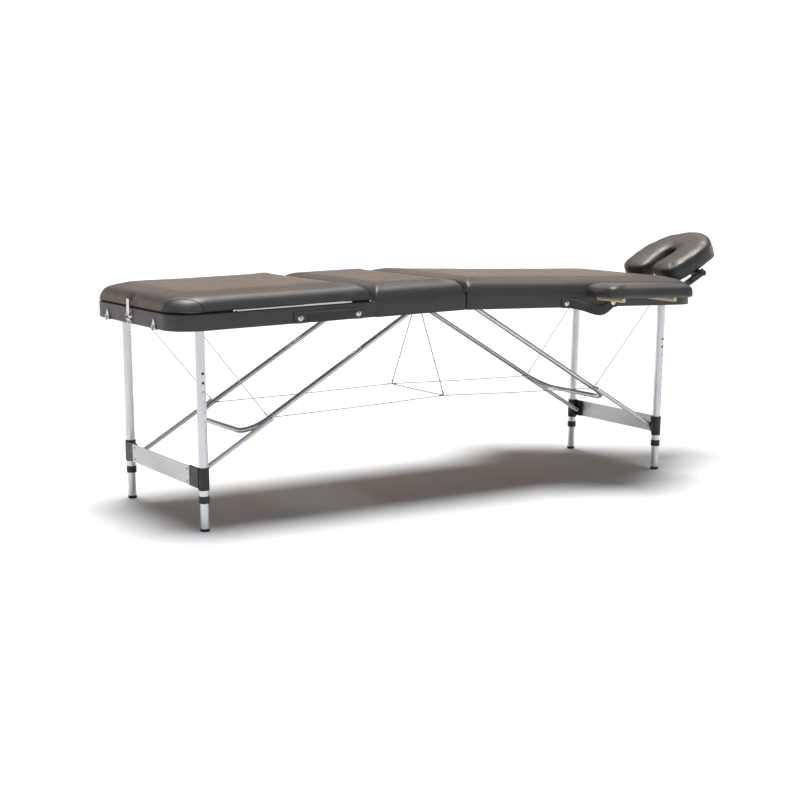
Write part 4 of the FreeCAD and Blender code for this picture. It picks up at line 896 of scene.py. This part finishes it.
# Wire rings in the eye plates at both ends
RING_MID, RING_WIRE = 8.5, 1.5
EYE_U, EYE_V, EYE_W = 955.0, 163.0, 12.0
for half in ("back", "head"):
    for sign in (1, -1):
        word = "near" if sign == NEAR[half] else "far"
        rings = []
        for k in range(40):
            a = 2 * math.pi * k / 40
            spoke = Vector((0, math.sin(a), math.cos(a)))
            centre = Vector((EYE_U, sign * EYE_V, EYE_W - RING_MID)) + RING_MID * spoke
            rings.append([tuple(centre + RING_WIRE * (math.cos(t) * spoke + math.sin(t) * Vector((1, 0, 0))))
                          for t in (2 * math.pi * m / 10 for m in range(10))])
        build("%s_eye_ring_%s" % (half, word), *loft(rings, closed=True), PLACE[half], half + "_half",
              PLATED, "bright_plate")


# CAD nodes that show: softened edges and finished materials
def finish_node(name, material, width=0.0, segments=2):
    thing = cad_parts[name]
    thing.data.materials.clear()
    thing.data.materials.append(material)
    if width:
        edge = thing.modifiers.new("edge", "BEVEL")
        edge.width = width / 1000
        edge.segments = segments
        edge.limit_method = "ANGLE"
        edge.angle_limit = math.radians(50)
        edge.use_clamp_overlap = True
        edge.harden_normals = False


for half in ("back", "head"):
    finish_node(half + "_rails", LEATHER)
    for part in ("hinge_leaves", "pivot_fittings"):
        finish_node("%s_%s" % (half, part), ZINC)
    finish_node(half + "_leg_tubes", TUBE)
    finish_node(half + "_leg_clamps", PLASTIC, 0.8)
    finish_node(half + "_leg_collars", PLASTIC, 1.4, 3)
    finish_node(half + "_leg_plate", SHEET, 0.5)
    finish_node(half + "_brace", BAR)
    # The struts get the lightened aluminium: painted light.
    finish_node(half + "_struts", STRUT_PAINTED_LIGHT)
    finish_node(half + "_end_plates", PLATED, 0.5)
    for word in ("near", "far"):
        finish_node("%s_inner_leg_%s" % (half, word), TUBE)
        finish_node("%s_foot_%s" % (half, word), RUBBER, 0.8)
        finish_node("%s_button_%s" % (half, word), PLATED)
for name in ("middle_board", "head_board", "backrest_board"):
    finish_node(name, BOARD)
for name in ("backrest_hinge_leaves", "backrest_hinge_arms", "backrest_props"):
    finish_node(name, ZINC)
finish_node("prop_tracks", TUBE)
for name in ("latch_lever", "latch_bail"):
    finish_node(name, PLATED, 0.5)
for name in ("headrest_fork", "headrest_platform", "headrest_lever"):
    finish_node(name, PLASTIC, 0.8)
for word in ("near", "far"):
    finish_node("armrest_dowels_" + word, BEECH, 1.2, 3)

# Floor and light
REACH = 60.0
floor_corners = [(-REACH, -REACH, 0), (REACH, -REACH, 0), (REACH, REACH, 0), (-REACH, REACH, 0)]
floor_mesh = bpy.data.meshes.new("floor")
floor_mesh.from_pydata(floor_corners, [], [(0, 1, 2, 3)])
floor = bpy.data.objects.new("floor", floor_mesh)
bpy.context.scene.collection.objects.link(floor)
floor_mesh.materials.append(shader("pale_floor", (0.46, 0.485, 0.51), 0.9)[0])

world = bpy.data.worlds.new("studio")
world.use_nodes = True
bpy.context.scene.world = world
sky = world.node_tree
direction = sky.nodes.new("ShaderNodeTexCoord").outputs["Generated"]
facing_away = sky.nodes.new("ShaderNodeVectorMath")
facing_away.operation = "DOT_PRODUCT"
facing_away.inputs[1].default_value = (math.sin(YAW), math.cos(YAW), 0)
sky.links.new(direction, facing_away.inputs[0])
backdrop = between(sky, facing_away.outputs["Value"], (0.66, 0.76, 0.90), (4.4, 3.2, 2.35), 0.25, 0.80)
height = sky.nodes.new("ShaderNodeSeparateXYZ")
sky.links.new(direction, height.inputs["Vector"])
fall = between(sky, height.outputs["Z"], (1.0, 1.0, 1.0), (0.045, 0.045, 0.045), 0.06, 0.24)
ceiling = fall.node.color_ramp.elements
for position, level in ((0.50, 0.05), (0.80, 0.42), (1.0, 0.30)):
    ceiling.new(position).color = (level, level, level, 1)
tone = sky.nodes.new("ShaderNodeVectorMath")
tone.operation = "MULTIPLY"
sky.links.new(backdrop, tone.inputs[0])
sky.links.new(fall, tone.inputs[1])
sky.links.new(tone.outputs["Vector"], sky.nodes["Background"].inputs["Color"])


def sun(name, travel, strength, angle, colour):
    lamp = bpy.data.lights.new(name, "SUN")
    lamp.energy = strength
    lamp.angle = math.radians(angle)
    lamp.color = colour
    holder = bpy.data.objects.new(name, lamp)
    holder.rotation_mode = "QUATERNION"
    holder.rotation_quaternion = Vector(travel).to_track_quat("-Z", "Y")
    bpy.context.scene.collection.objects.link(holder)


sun("ceiling", (-0.05, -0.08, -0.99), 7.6, 30, (1.0, 0.97, 0.94))
bpy.context.scene.view_settings.view_transform = "Standard"
